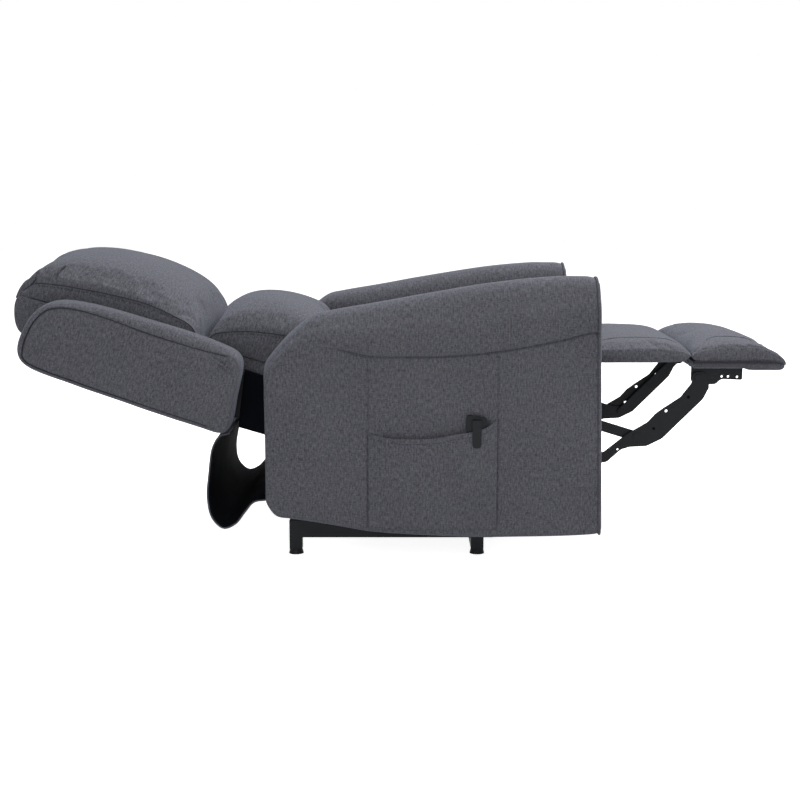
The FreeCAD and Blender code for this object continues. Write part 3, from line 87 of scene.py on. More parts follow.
def lineThrough(points, count, closed=False, parts=10):
    # a smooth line through all the points, then count points evenly apart on it
    points = [Vector(p) for p in points]
    total = len(points)
    dense = []
    for i in range(total if closed else total - 1):
        b, c = points[i], points[(i + 1) % total]
        a = points[i - 1] if closed or i else b * 2 - c
        d = points[(i + 2) % total] if closed or i + 2 < total else c * 2 - b
        tb = max((b - a).length, 1e-6) ** 0.5
        tc = tb + max((c - b).length, 1e-6) ** 0.5
        td = tc + max((d - c).length, 1e-6) ** 0.5
        for s in range(parts):
            t = tb + (tc - tb) * s / parts
            ab, bc = a + (b - a) * (t / tb), b + (c - b) * ((t - tb) / (tc - tb))
            cd = c + (d - c) * ((t - tc) / (td - tc))
            abc, bcd = ab + (bc - ab) * (t / tc), bc + (cd - bc) * ((t - tb) / (td - tb))
            dense.append(abc + (bcd - abc) * ((t - tb) / (tc - tb)))
    dense.append(points[0] if closed else points[-1])
    return evenly(dense, count, closed)


def flatLine(pairs, count, closed=False):
    return lineThrough([(a, b, 0) for a, b in pairs], count, closed)


def valueAt(table, x, column=1):
    # a smooth value between the rows of a table that is sorted by its first column
    if x <= table[0][0]:
        return table[0][column]
    for i, (a, b) in enumerate(zip(table, table[1:])):
        if x <= b[0]:
            span = b[0] - a[0]
            slope = (b[column] - a[column]) / span
            before = table[i - 1] if i else a
            after = table[i + 2] if i + 2 < len(table) else b
            ends = ((b[column] - before[column]) / (b[0] - before[0]),
                    (after[column] - a[column]) / (after[0] - a[0]))
            left, right = [math.copysign(min(abs(m), 3 * abs(slope)), slope) if m * slope > 0 else 0 for m in ends]
            t = (x - a[0]) / span
            return (a[column] * (1 + 2 * t) * (1 - t) ** 2 + b[column] * t * t * (3 - 2 * t)
                    + left * span * t * (1 - t) ** 2 - right * span * t * t * (1 - t))
    return table[-1][column]


def ease(low, high, x):
    t = min(max((x - low) / (high - low), 0.0), 1.0)
    return t * t * (3 - 2 * t)


# surfaces

def objectFrom(name, bm):
    mesh = bpy.data.meshes.new(name)
    bm.to_mesh(mesh)
    bm.free()
    obj = bpy.data.objects.new(name, mesh)
    scene.collection.objects.link(obj)
    return obj


def skin(name, rows, closed=True, loop=False):
    # quads over rows of points, with the cloth's lengths as its map; closed joins each row's ends
    bm = bmesh.new()
    layer = bm.loops.layers.uv.new("cloth")
    grid = [[bm.verts.new(p) for p in row] for row in rows]
    width = len(rows[0])
    around, along = [], [[0.0] * (width + 1)]
    for row in rows:
        marks = [0.0]
        for j in range(1, width + 1):
            marks.append(marks[-1] + (row[j % width] - row[j - 1]).length)
        around.append(marks)
    for i in range(1, len(rows) + 1):
        step = [(rows[i % len(rows)][j % width] - rows[i - 1][j % width]).length for j in range(width + 1)]
        along.append([a + b for a, b in zip(along[-1], step)])
    for i in range(len(rows) if loop else len(rows) - 1):
        for j in range(width if closed else width - 1):
            corners = [(i, j), (i, j + 1), (i + 1, j + 1), (i + 1, j)]
            face = bm.faces.new([grid[a % len(rows)][b % width] for a, b in corners])
            face.smooth = True
            for corner, (a, b) in zip(face.loops, corners):
                corner[layer].uv = (along[a][b], around[a % len(rows)][b])
    bmesh.ops.remove_doubles(bm, verts=bm.verts, dist=2e-5)
    bmesh.ops.dissolve_degenerate(bm, edges=bm.edges, dist=1e-6)
    bmesh.ops.recalc_face_normals(bm, faces=bm.faces)
    if bm.calc_volume(signed=True) < 0:
        bmesh.ops.reverse_faces(bm, faces=bm.faces)
    return objectFrom(name, bm)


def ringPieces(name, pieces, toMap, smooth):
    # one object of closed pieces, each given as rings of points, with both ends shut
    bm = bmesh.new()
    layer = bm.loops.layers.uv.new("cloth")
    for rings in pieces:
        grid = [[bm.verts.new(p) for p in ring] for ring in rings]
        around = len(rings[0])
        for low, high in zip(grid, grid[1:]):
            for j in range(around):
                bm.faces.new([low[j], low[(j + 1) % around], high[(j + 1) % around], high[j]])
        bm.faces.new(grid[0][::-1])
        bm.faces.new(grid[-1])
    for face in bm.faces:
        face.smooth = smooth
        for corner in face.loops:
            corner[layer].uv = toMap(corner.vert.co)
    bmesh.ops.recalc_face_normals(bm, faces=bm.faces)
    return objectFrom(name, bm)


def flatMap(obj, turn=0.0):
    # the cloth's map from straight ahead on each side, turned with a leaning piece
    rotate = Matrix.Rotation(turn, 3, "Y")
    layer = obj.data.uv_layers["cloth"].data
    for polygon in obj.data.polygons:
        size = [abs(c) for c in rotate @ polygon.normal]
        a, b = ((1, 2), (0, 2), (0, 1))[size.index(max(size))]
        for k in polygon.loop_indices:
            p = rotate @ obj.data.vertices[obj.data.loops[k].vertex_index].co
            layer[k].uv = (p[a], p[b])


def toSpine(ring, spine, steps, crown=(0, 0, 0)):
    # rows that run from a closed ring in to a spine, lifted by the crown's direction on the way
    a, b = spine
    ends = []
    for p in ring:
        share = min(max((p - a).dot(b - a) / (b - a).length_squared, 0.0), 1.0)
        ends.append(a.lerp(b, share))
    rows = []
    for k in range(1, steps + 1):
        share = k / steps
        rise = Vector(crown) * math.sin(share * math.pi / 2) ** 0.8
        rows.append([p.lerp(e, share) + rise for p, e in zip(ring, ends)])
    return rows


def tube(name, line, radius, closed=False, around=8, normal=(0, 1, 0)):
    rows, side = [], Vector(normal)
    count = len(line)
    for i, p in enumerate(line):
        before = line[i - 1] if closed or i else p
        after = line[(i + 1) % count] if closed or i + 1 < count else p
        ahead = (after - before).normalized()
        side = (side - ahead * side.dot(ahead)).normalized()
        other = ahead.cross(side)
        rows.append([p + (side * math.cos(a) + other * math.sin(a)) * radius
                     for a in (math.tau * k / around for k in range(around))])
    if not closed:
        rows.insert(0, [line[0]] * around)
        rows.append([line[-1]] * around)
    return skin(name, rows, loop=closed)


stitch = {
    "length": 0.0046, "gap": 0.0034, "radius": 0.0008, "around": 6,
    # place along the stitch, share of the radius, and height over the cloth in radii
    "rings": [(0.0, 0.55, -0.4), (0.3, 1.0, 0.5), (0.7, 1.0, 0.5), (1.0, 0.55, -0.4)],
}


def stitches(name, line, normals):
    # a row of short thread stitches along a line on a surface with those normals
    total = sum((b - a).length for a, b in zip(line, line[1:]))
    points = evenly(line, 2 * max(2, int(total / (stitch["length"] + stitch["gap"]))))
    turns = [math.tau * j / stitch["around"] for j in range(stitch["around"])]
    radius = stitch["radius"]
    pieces = []
    for a, b in zip(points[:-2:2], points[1:-2:2]):
        normal = normals[min(range(len(line)), key=lambda k: (line[k] - a).length_squared)]
        ahead = (b - a).normalized()
        up = (normal - ahead * normal.dot(ahead)).normalized()
        side = ahead.cross(up)
        rings = []
        for share, size, raised in stitch["rings"]:
            middle = a.lerp(b, share) + up * radius * raised
            rings.append([middle + (side * math.cos(t) + up * math.sin(t)) * radius * size for t in turns])
        pieces.append(rings)
    return ringPieces(name, pieces, lambda p: (p.x + p.y, p.z), smooth=True)


def finishWith(obj, kind, **values):
    modifier = obj.modifiers.new(kind.lower(), kind)
    for key, value in values.items():
        setattr(modifier, key, value)
    bpy.ops.object.select_all(action="DESELECT")
    obj.select_set(True)
    bpy.context.view_layer.objects.active = obj
    bpy.ops.object.modifier_apply(modifier=modifier.name)
    obj.select_set(False)


def smoother(obj):
    finishWith(obj, "SUBSURF", levels=1, render_levels=1, boundary_smooth="PRESERVE_CORNERS")


def surfaceTree(obj):
    return BVHTree.FromPolygons([v.co for v in obj.data.vertices], [tuple(f.vertices) for f in obj.data.polygons])


def pointTree(points):
    tree = KDTree(len(points))
    for i, p in enumerate(points):
        tree.insert(p, i)
    tree.balance()
    return tree


def surfacePoints(obj):
    # normals are read before anything moves, because a moved vertex makes them all stale
    return [(v.co.copy(), v.normal.copy()) for v in obj.data.vertices]


def movePoints(obj, places):
    obj.data.vertices.foreach_set("co", [c for p in places for c in p])
    obj.data.update()


def layOn(obj, line, lift=0.0):
    # the line moved onto the finished surface, and the surface's normals there
    tree = surfaceTree(obj)
    found = [tree.find_nearest(p) for p in line]
    return [near + normal * lift for near, normal, _, _ in found], [normal for _, normal, _, _ in found]


def refine(obj, lines, reach):
    # a finer mesh near the lines, so that a narrow fold keeps its shape
    tree = pointTree([p for line in lines for p in line])
    bm = bmesh.new()
    bm.from_mesh(obj.data)
    edges = [e for e in bm.edges if tree.find((e.verts[0].co + e.verts[1].co) / 2)[2] < reach]
    bmesh.ops.subdivide_edges(bm, edges=edges, cuts=2, use_grid_fill=True)
    bm.to_mesh(obj.data)
    bm.free()


foldLine = {"points": 40, "fade": 8, "reach": 3.0}


def crease(obj, folds, fine=0.0):
    # pushes the surface in along lines, as seams and folds do; each is (points, depth, width)
    def laid():
        tree = surfaceTree(obj)
        return [[tree.find_nearest(p)[0] for p in lineThrough(line, foldLine["points"])] for line, _, _ in folds]

    if fine:
        refine(obj, laid(), fine)
    points = surfacePoints(obj)
    places = [p for p, _ in points]
    last, fade = foldLine["points"] - 1, foldLine["fade"]
    for line, (_, depth, width) in zip(laid(), folds):
        tree = pointTree(line)
        for k, (start, normal) in enumerate(points):
            _, index, far = tree.find(start)
            if far < width * foldLine["reach"]:
                share = ease(0, fade, index) * ease(0, fade, last - index)
                places[k] = places[k] - normal * depth * share * math.exp(-((far / width) ** 2))
    movePoints(obj, places)


def foldsOf(shape, place, side):
    # a piece's table of folds, in millimetres of its own frame, as lines in the scene
    return [([place(a, side * b, c) for a, b, c in line], depth * mm, width * mm)
            for line, depth, width in shape["folds"]]


def rumple(obj, size, amount, seed, mask=None):
    # soft unevenness of stuffed cloth
    places = []
    for start, normal in surfacePoints(obj):
        p = start / size
        value = noise.noise(p + Vector((seed, seed * 1.7, 3.1))) + 0.4 * noise.noise(p * 2.3 + Vector((0, seed, 9)))
        places.append(start + normal * amount * value * (mask(start) if mask else 1))
    movePoints(obj, places)


swelling = {
    "frames": 20,
    "cloth": {"quality": 6, "mass": 0.25, "tension_stiffness": 12.0, "compression_stiffness": 12.0,
              "shear_stiffness": 4, "bending_stiffness": 0.4, "use_pressure": True},
}


def puff(obj, pinned, grow, pressure, cap):
    # swells a closed cloth between its pinned seams and keeps the result in the mesh
    if not simulate:
        return
    start = [v.co.copy() for v in obj.data.vertices]
    group = obj.vertex_groups.new(name="pinned")
    for v in obj.data.vertices:
        group.add([v.index], pinned(v.co), "REPLACE")
    cloth = obj.modifiers.new("cloth", "CLOTH")
    for key, value in swelling["cloth"].items():
        setattr(cloth.settings, key, value)
    cloth.settings.uniform_pressure_force = pressure
    cloth.settings.shrink_min = -grow
    cloth.settings.vertex_group_mass = group.name
    cloth.settings.effector_weights.gravity = 0
    cloth.collision_settings.use_collision = False
    cloth.point_cache.frame_end = swelling["frames"]
    for step in range(1, swelling["frames"] + 1):
        scene.frame_set(step)
    shown = obj.evaluated_get(bpy.context.evaluated_depsgraph_get())
    moved = [v.co.copy() for v in shown.data.vertices]
    obj.modifiers.remove(cloth)
    obj.vertex_groups.clear()
    scene.frame_set(1)
    for v, a, b in zip(obj.data.vertices, start, moved):
        v.co = a + (b - a) * min(1.0, cap / max((b - a).length, 1e-9))
    obj.data.update()


# materials

def setInputs(tree, node, inputs):
    # a key is a socket's name, or i and its number
    for key, value in inputs.items():
        socket = node.inputs[int(key[1:]) if key[0] == "i" and key[1:].isdigit() else key]
        if isinstance(value, bpy.types.NodeSocket):
            tree.links.new(value, socket)
        else:
            socket.default_value = value


def addNode(tree, kind, settings=None, **inputs):
    node = tree.nodes.new(kind)
    for key, value in (settings or {}).items():
        setattr(node, key, value)
    setInputs(tree, node, inputs)
    return node


def mathNode(tree, operation, a, b=0.0, c=0.0):
    return addNode(tree, "ShaderNodeMath", {"operation": operation}, i0=a, i1=b, i2=c).outputs[0]


def swingNode(tree, value, amount, rest=0.0):
    # a value's swing about one half, times the amount, on top of the rest
    return mathNode(tree, "MULTIPLY_ADD", mathNode(tree, "SUBTRACT", value, 0.5), amount, rest)


def noiseNode(tree, vector, scale, detail, rough=0.5, bend=0.0, size="3D"):
    return addNode(tree, "ShaderNodeTexNoise", {"noise_dimensions": size}, Vector=vector, Scale=scale, Detail=detail,
                   Roughness=rough, Distortion=bend)


def scaledNode(tree, vector, scale):
    return addNode(tree, "ShaderNodeMapping", {"vector_type": "POINT"}, Vector=vector, Scale=scale).outputs[0]


def rampNode(tree, value, *stops):
    ramp = addNode(tree, "ShaderNodeValToRGB", Fac=value)
    for element, (place, colour) in zip(ramp.color_ramp.elements, stops):
        element.position = place
        element.color = (*colour, 1)
    return ramp.outputs[0]


def bumpNode(tree, height, strength, distance):
    return addNode(tree, "ShaderNodeBump", Height=height, Strength=strength, Distance=distance).outputs[0]


def makeGroup(name, vectors, numbers, build):
    tree = bpy.data.node_groups.new(name, "ShaderNodeTree")
    for label in vectors + numbers:
        kind = "NodeSocketVector" if label in vectors else "NodeSocketFloat"
        tree.interface.new_socket(label, in_out="INPUT", socket_type=kind)
    results = build(tree, tree.nodes.new("NodeGroupInput").outputs)
    for label in results:
        tree.interface.new_socket(label, in_out="OUTPUT", socket_type="NodeSocketFloat")
    setInputs(tree, tree.nodes.new("NodeGroupOutput"), results)
    return tree


def weave(tree, given):
    # crossing threads, long slubs and soft mottling, all in metres of cloth
    vector, slubs = given["Vector"], given["Slub"]
    wobble = noiseNode(tree, vector, 90.0, 1.0, size="2D").outputs["Color"]
    shift = addNode(tree, "ShaderNodeVectorMath", {"operation": "SCALE"}, i0=wobble, Scale=0.0016)
    moved = addNode(tree, "ShaderNodeVectorMath", {"operation": "ADD"}, i0=vector, i1=shift.outputs[0])
    parts = addNode(tree, "ShaderNodeSeparateXYZ", Vector=moved.outputs[0])
    turns = mathNode(tree, "MULTIPLY", given["Threads"], math.pi)
    warp, weft = [mathNode(tree, "SINE", mathNode(tree, "MULTIPLY", parts.outputs[axis], turns)) for axis in "XY"]
    thread = mathNode(tree, "MULTIPLY_ADD", mathNode(tree, "MULTIPLY", warp, weft), 0.5, 0.5)
    slub = noiseNode(tree, scaledNode(tree, vector, (300.0, 90.0, 1.0)), 1.0, 2.0, 0.6, size="2D")
    cross = noiseNode(tree, scaledNode(tree, vector, (110.0, 330.0, 1.0)), 1.0, 1.0, size="2D")
    mottle = noiseNode(tree, given["Place"], 420.0, 2.0, 0.7)
    slubTone = swingNode(tree, slub.outputs[0], slubs)
    crossTone = swingNode(tree, cross.outputs[0], slubs)
    mottleTone = swingNode(tree, mottle.outputs[0], given["Mottle"])
    spread = mathNode(tree, "ADD", mathNode(tree, "MULTIPLY_ADD", crossTone, 0.45, slubTone), mottleTone)
    return {"Tone": swingNode(tree, thread, 0.22, mathNode(tree, "ADD", spread, 0.5)),
            "Height": mathNode(tree, "MULTIPLY_ADD", spread, 1.4, thread)}


def wear(tree, given):
    # fine grain and broad scuffs for painted and plated metal and for moulded plastic
    vector = given["Vector"]
    grain = noiseNode(tree, vector, given["Grain"], 2.0).outputs[0]
    patch = noiseNode(tree, vector, given["Patch"], 4.0, 0.65).outputs[0]
    scratch = noiseNode(tree, scaledNode(tree, vector, (60.0, 60.0, 340.0)), 1.0, 3.0).outputs[0]
    scuff = mathNode(tree, "MULTIPLY", mathNode(tree, "GREATER_THAN", scratch, 0.66),
                     mathNode(tree, "GREATER_THAN", patch, 0.52))
    return {"Grain": grain, "Patch": patch, "Scuff": scuff}


weaveGroup = makeGroup("clothWeave", ["Vector", "Place"], ["Threads", "Slub", "Mottle"], weave)
wearGroup = makeGroup("surfaceWear", ["Vector"], ["Grain", "Patch"], wear)
materials = {}


def startMaterial(name):
    # the new material's nodes, its shader and the object's own coordinates
    material = bpy.data.materials.new(name)
    material.use_nodes = True
    materials[name] = material
    tree = material.node_tree
    return tree, tree.nodes["Principled BSDF"], addNode(tree, "ShaderNodeTexCoord").outputs["Object"]


def clothMaterial(name, dark, light, threads=620.0, slub=0.5, mottle=0.5, rough=0.92, sheen=0.16, bump=0.0005):
    tree, shader, place = startMaterial(name)
    cloth = addNode(tree, "ShaderNodeUVMap", {"uv_map": "cloth"}).outputs[0]
    woven = addNode(tree, "ShaderNodeGroup", {"node_tree": weaveGroup}, Vector=cloth, Place=place,
                    Threads=threads, Slub=slub, Mottle=mottle)
    tone = swingNode(tree, noiseNode(tree, place, 7.0, 3.0).outputs[0], 0.16, woven.outputs["Tone"])
    setInputs(tree, shader, {
        "Base Color": rampNode(tree, tone, (0.08, dark), (0.92, light)),
        "Normal": bumpNode(tree, woven.outputs["Height"], 0.8, bump),
        "Roughness": rough, "Specular IOR Level": 0.2 if sheen else 0.05,
        "Sheen Weight": sheen, "Sheen Roughness": 0.5, "Sheen Tint": (0.72, 0.78, 1.0, 1)})


def hardMaterial(name, base, worn, rough, metallic=0.0, scuff=0.35, bump=0.0001, mix=0.35, gloss=0.16):
    tree, shader, place = startMaterial(name)
    worked = addNode(tree, "ShaderNodeGroup", {"node_tree": wearGroup}, Vector=place, Grain=900.0, Patch=16.0)
    patch = worked.outputs["Patch"]
    share = mathNode(tree, "MULTIPLY_ADD", patch, mix, mathNode(tree, "MULTIPLY", worked.outputs["Scuff"], scuff))
    blend = addNode(tree, "ShaderNodeMix", {"data_type": "RGBA"}, i0=share, i6=(*base, 1), i7=(*worn, 1))
    roughness = addNode(tree, "ShaderNodeMapRange", i0=patch, i1=0.3, i2=0.7, i3=rough[0], i4=rough[1])
    setInputs(tree, shader, {
        "Base Color": blend.outputs[2], "Roughness": roughness.outputs[0],
        "Normal": bumpNode(tree, worked.outputs["Grain"], 0.5, bump),
        "Metallic": metallic, "Specular IOR Level": 0.5 if metallic else gloss})


def woodMaterial(name, dark, light):
    tree, shader, place = startMaterial(name)
    grain = noiseNode(tree, scaledNode(tree, place, (5.0, 60.0, 60.0)), 1.5, 5.0, bend=0.6).outputs[0]
    setInputs(tree, shader, {
        "Base Color": rampNode(tree, grain, (0.3, dark), (0.7, light)),
        "Normal": bumpNode(tree, grain, 0.4, 0.0004), "Roughness": 0.62})


clothMaterial("charcoalCloth", (0.022, 0.022, 0.026), (0.132, 0.134, 0.154), slub=0.85, mottle=0.75)
# near-black thread for the stitches; the same material also paints the dark shade lines laid into the seams of the
# pillows and wings and under the ottoman pad
clothMaterial("threadAndSeamShade", (0.010, 0.010, 0.012), (0.034, 0.035, 0.040), threads=1500.0, slub=0.2, mottle=0.3)
clothMaterial("blackLining", (0.0015, 0.0018, 0.003), (0.006, 0.007, 0.010), threads=1600.0, slub=0.25,
              rough=0.9, sheen=0.0, bump=0.0002)
clothMaterial("strapWebbing", (0.020, 0.018, 0.015), (0.075, 0.068, 0.058), threads=900.0, mottle=0.4)
hardMaterial("blackSteel", (0.0055, 0.0065, 0.0085), (0.030, 0.032, 0.036), (0.38, 0.56), mix=0.2)
hardMaterial("zincSteel", (0.36, 0.37, 0.38), (0.20, 0.20, 0.21), (0.26, 0.46), metallic=0.9, scuff=0.5)
hardMaterial("rodSteel", (0.55, 0.56, 0.57), (0.42, 0.42, 0.44), (0.14, 0.28), metallic=1.0, scuff=0.3)
hardMaterial("motorPlastic", (0.010, 0.010, 0.011), (0.030, 0.030, 0.033), (0.42, 0.60), bump=0.00015)
hardMaterial("handsetPlastic", (0.0025, 0.0025, 0.0030), (0.009, 0.009, 0.010), (0.36, 0.52), bump=0.00012,
             mix=0.2, gloss=0.08)
hardMaterial("buttonRubber", (0.10, 0.10, 0.11), (0.15, 0.15, 0.16), (0.60, 0.75))
hardMaterial("footRubber", (0.010, 0.010, 0.011), (0.030, 0.030, 0.031), (0.70, 0.85))
woodMaterial("frameWood", (0.25, 0.15, 0.075), (0.46, 0.31, 0.17))
slotMaterial = {
    "charcoal_fabric": "charcoalCloth", "black_lining": "blackLining", "webbing": "strapWebbing",
    "frame_wood": "frameWood", "black_steel": "blackSteel", "zinc_steel": "zincSteel",
    "rod_steel": "rodSteel", "motor_plastic": "motorPlastic", "handset_plastic": "handsetPlastic",
    "button_rubber": "buttonRubber", "foot_rubber": "footRubber",
}
slotOfNode = {node: entry["slot"] for entry in frame["record"]["materials"] for node in entry.get("nodes", [])}
for name, obj in frame["nodes"].items():
    obj.data.materials.clear()
    obj.data.materials.append(materials[slotMaterial[slotOfNode.get(name, "black_steel")]])
print("materials made")


def fit(obj, body, slot="charcoal_fabric", nodes=(), material=None):
    obj.data.materials.append(materials[material or slotMaterial[slot]])
    if nodes:
        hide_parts(*nodes)
    if body:
        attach(obj, body)
    return obj


def fitPadded(obj, body, node):
    fit(obj, body, nodes=[node])


# the two frames that the padded pieces are drawn in, in millimetres: the back leans on the recline
# hinge, with n out of its front and u up along it; a level piece has z, y and x

hinge, lean = (-195, 375), math.radians(16.5)


def backPoint(n, y, u):
    x = hinge[0] - u * math.cos(lean) + n * math.sin(lean)
    z = hinge[1] + u * math.sin(lean) + n * math.cos(lean)
    return point(x, y, z)


def backLocal(p):
    x, z = p.x / mm - hinge[0], p.z / mm - hinge[1]
    return x * math.sin(lean) + z * math.cos(lean), p.y / mm, z * math.sin(lean) - x * math.cos(lean)


def levelPoint(z, y, x):
    return point(x, y, z)


def levelLocal(p):
    return p.z / mm, p.y / mm, p.x / mm


back = {"place": backPoint, "local": backLocal, "turn": -lean}
level = {"place": levelPoint, "local": levelLocal, "turn": 0.0}


# stuffed pieces

def settingAt(shape, key, u):
    return valueAt(shape[key + "At"], u) if key + "At" in shape else shape[key]


def boxedPillow(name, place, shape):
    # a stuffed form: a crowned top, a seam along both sides, gussets under it and a flat bottom
    spread = [math.sin(math.pi * (i / shape["across"] - 0.5)) for i in range(shape["across"] + 1)]
    rows = []
    for top, edge, under in zip(*(flatLine(shape[key], shape["count"]) for key in ("top", "edge", "under"))):
        half, fall = settingAt(shape, "half", edge.y), settingAt(shape, "round", edge.y)
        deep = min(1.0, abs(edge.x - under.x) / 30)
        crown, side = [], []
        for s in spread:
            p = edge.lerp(top, max(0.0, 1 - abs(s) ** shape["power"]) ** fall)
            crown.append((p.x, half * s, p.y))
        for k in range(1, shape["gusset"]):
            g = k / shape["gusset"]
            p = edge.lerp(under, g)
            out = (shape["bulge"] * math.sin(math.pi * g) - shape["notch"] * math.exp(-k * k)) * deep
            side.append((p.x, half + out, p.y))
        bottom = [(under.x, half * s, under.y) for s in spread[::-1]]
        rows.append([place(*p) for p in crown + side + bottom + [(n, -y, u) for n, y, u in side[::-1]]])
    return skin(name, rows)


def seamOf(shape, place, side, out=0.0, lift=0.0, start=0.0, end=1.0, count=120):
    edge = flatLine(shape["edge"], count)
    return [place(p.x + lift, side * (settingAt(shape, "half", p.y) + out), p.y)
            for p in edge[int(start * (count - 1)):int(end * (count - 1)) + 1]]


def pinsOf(shape, space):
    # what share of each point is held, which is all of it near the seams, the sides and the bottom
    hold = shape["hold"]
    tree = pointTree([p for side in (1, -1) for p in seamOf(shape, space["place"], side, count=240)])

    def pinned(p):
        n, y, _ = space["local"](p)
        free = min(1.0, tree.find(p)[2] / hold["reach"])
        if abs(y) > hold["side"] or n < hold["low"]:
            return 1.0
        return 1.0 - hold["soften"] * ease(0.0, 1.0, free) if free < hold["near"] else 0.0

    return pinned


def stuffed(name, shape, space, body, node):
    obj = boxedPillow(name, space["place"], shape)
    flatMap(obj, space["turn"])
    if "swell" in shape:
        puff(obj, pinsOf(shape, space), **shape["swell"])
    smoother(obj)
    if "folds" in shape:
        for side in (-1, 1):
            crease(obj, foldsOf(shape, space["place"], side), shape["fine"])
    rumple(obj, *shape["rumple"])
    fitPadded(obj, body, node)
    return obj


# a near-black line sunk into a pillow's seam: painted shade of the seam's crease
pillowSeamShade = {"radius": 0.0011, "around": 6, "lift": -0.0003}


def seamStitchesAndShade(obj, prefix, shape):
    # the stitches, and a near-black line of painted seam shade, along both long edges of a pillow of the back
    for side, hand in hands:
        for kind, (out, lift, start, end) in shape["trim"].items():
            line = seamOf(shape, backPoint, side, out, lift, start, end)
            if kind == "Stitches":
                thread = stitches(prefix + kind + hand, *layOn(obj, line))
            else:
                # a near-black tube sunk into the seam: painted shade of the seam's crease, not thread
                laid, _ = layOn(obj, line, pillowSeamShade["lift"])
                thread = tube(prefix + kind + hand, laid, pillowSeamShade["radius"], around=pillowSeamShade["around"])
            fit(thread, "back", material="threadAndSeamShade")


# head pillow

headPillow = {
    "count": 90, "across": 88, "half": 284, "power": 2.7, "gusset": 8, "bulge": 2.0, "notch": 2.2,
    "roundAt": [(280, 1.1), (330, 0.95), (400, 0.62), (500, 0.44), (600, 0.40), (660, 0.33), (700, 0.27), (720, 0.26)],
    "top": [(38.6, 286), (72, 289), (102, 303), (136, 343), (157, 400), (168, 490), (163, 580), (151, 638),
            (137, 674), (119, 696), (96, 709), (72, 717), (48, 720.5), (28, 721)],
    "edge": [(38.6, 303), (57, 307), (77, 326), (89, 374), (97, 437), (94, 520), (87, 595), (80, 648),
             (72, 683), (62, 702), (49, 715), (28, 720)],
    "under": [(38.6, 286), (38.6, 320), (38.6, 380), (38.6, 490), (38.6, 600), (38, 660), (36, 700), (28, 721)],
    "hold": {"side": 280, "low": 44, "reach": 0.045, "near": 0.25, "soften": 1.0},
    "swell": {"grow": 0.035, "pressure": 3.0, "cap": 0.005},
    "rumple": (0.16, 0.0022, 4.0),
    # each fold is a line of n, y and u, its depth and its width
    "folds": [
        ([(84, 285, 642), (96, 284, 646), (112, 276, 643), (130, 258, 634)], 8.0, 2.4),
        ([(60, 287, 698), (76, 287, 689), (90, 284, 692), (104, 276, 694)], 7.0, 2.4),
        ([(44, 286, 712), (58, 287, 700), (66, 287, 694)], 4.0, 2.4),
        ([(52, 288, 612), (68, 288, 608), (86, 286, 602)], 2.5, 2.2),
        ([(108, 276, 560), (128, 262, 556), (146, 238, 552)], 1.8, 7),
        ([(108, 276, 420), (128, 260, 418), (142, 236, 415)], 2.2, 7),
        ([(90, 272, 340), (110, 254, 348), (126, 224, 352)], 2.6, 8),
    ],
    "fine": 0.007,
    # how far out of and above the edge each row is, and where it starts and ends; the Seam row is a near-black line of
    # painted seam shade
    "trim": {"Stitches": (2.0, -6.0, 0.05, 0.88), "Seam": (0.5, 0.0, 0.02, 0.90)},
}
pillow = stuffed("HeadPillow", headPillow, back, "back", "head_pillow")
seamStitchesAndShade(pillow, "HeadPillow", headPillow)
print("head pillow made")


# lumbar pillow

lumbar = {
    "count": 72, "across": 72, "half": 236, "power": 2.5, "round": 0.46, "gusset": 8, "bulge": 2.5, "notch": 2.0,
    "top": [(38.6, 66), (58, 44), (84, 32), (130, 26), (161, 34), (174, 68), (179, 125), (173, 186),
            (153, 240), (126, 272), (100, 288), (74, 291), (50, 288), (38.6, 283)],
    "edge": [(38.6, 74), (62, 56), (88, 48), (104, 56), (112, 90), (110, 122), (101, 180), (84, 240),
             (64, 279), (50, 284), (38.6, 281)],
    "under": [(38.6, 66), (38.6, 100), (38.6, 160), (38.6, 230), (38.6, 283)],
    "hold": {"side": 232, "low": 44, "reach": 0.045, "near": 0.12, "soften": 0.0},
    "swell": {"grow": 0.03, "pressure": 3.0, "cap": 0.006},
    "rumple": (0.15, 0.0022, 8.0),
    # the Seam row is a near-black line of painted seam shade
    "trim": {"Seam": (0.5, 0.0, 0.04, 0.96), "Stitches": (2.0, -6.0, 0.1, 0.9)},
}
cushion = stuffed("LumbarPillow", lumbar, back, "back", "lumbar_pillow")
seamStitchesAndShade(cushion, "Lumbar", lumbar)
print("lumbar pillow made")


# padded inner back and outer back panel

backPad = {
    "count": 96, "across": 40, "power": 6.0, "round": 0.5, "gusset": 5, "bulge": 2.0, "notch": 1.5,
    "halfAt": [(-400, 234), (150, 234), (216, 234), (234, 287), (900, 287)],
    "top": [(-3.4, 66), (14, 60), (30, 64), (37, 90), (38, 160), (38, 400), (38, 640), (38, 705), (37, 718),
            (18, 721), (-4, 718), (-28, 710), (-46, 697), (-51, 680), (-38, 662), (-3.4, 651)],
    "edge": [(-3.4, 70), (12, 65), (26, 66), (35, 92), (36, 160), (35, 400), (33, 640), (34, 702), (34, 715),
             (16, 719), (-3, 716), (-26, 708), (-43, 695), (-48, 680), (-34, 664), (-3.4, 653)],
    "under": [(-3.4, 66), (-3.4, 120), (-3.4, 300), (-3.4, 500), (-3.4, 600), (-3.4, 640), (-3.4, 651)],
    "rumple": (0.2, 0.0012, 2.0),
}
stuffed("BackPad", backPad, back, "back", "back_pad")

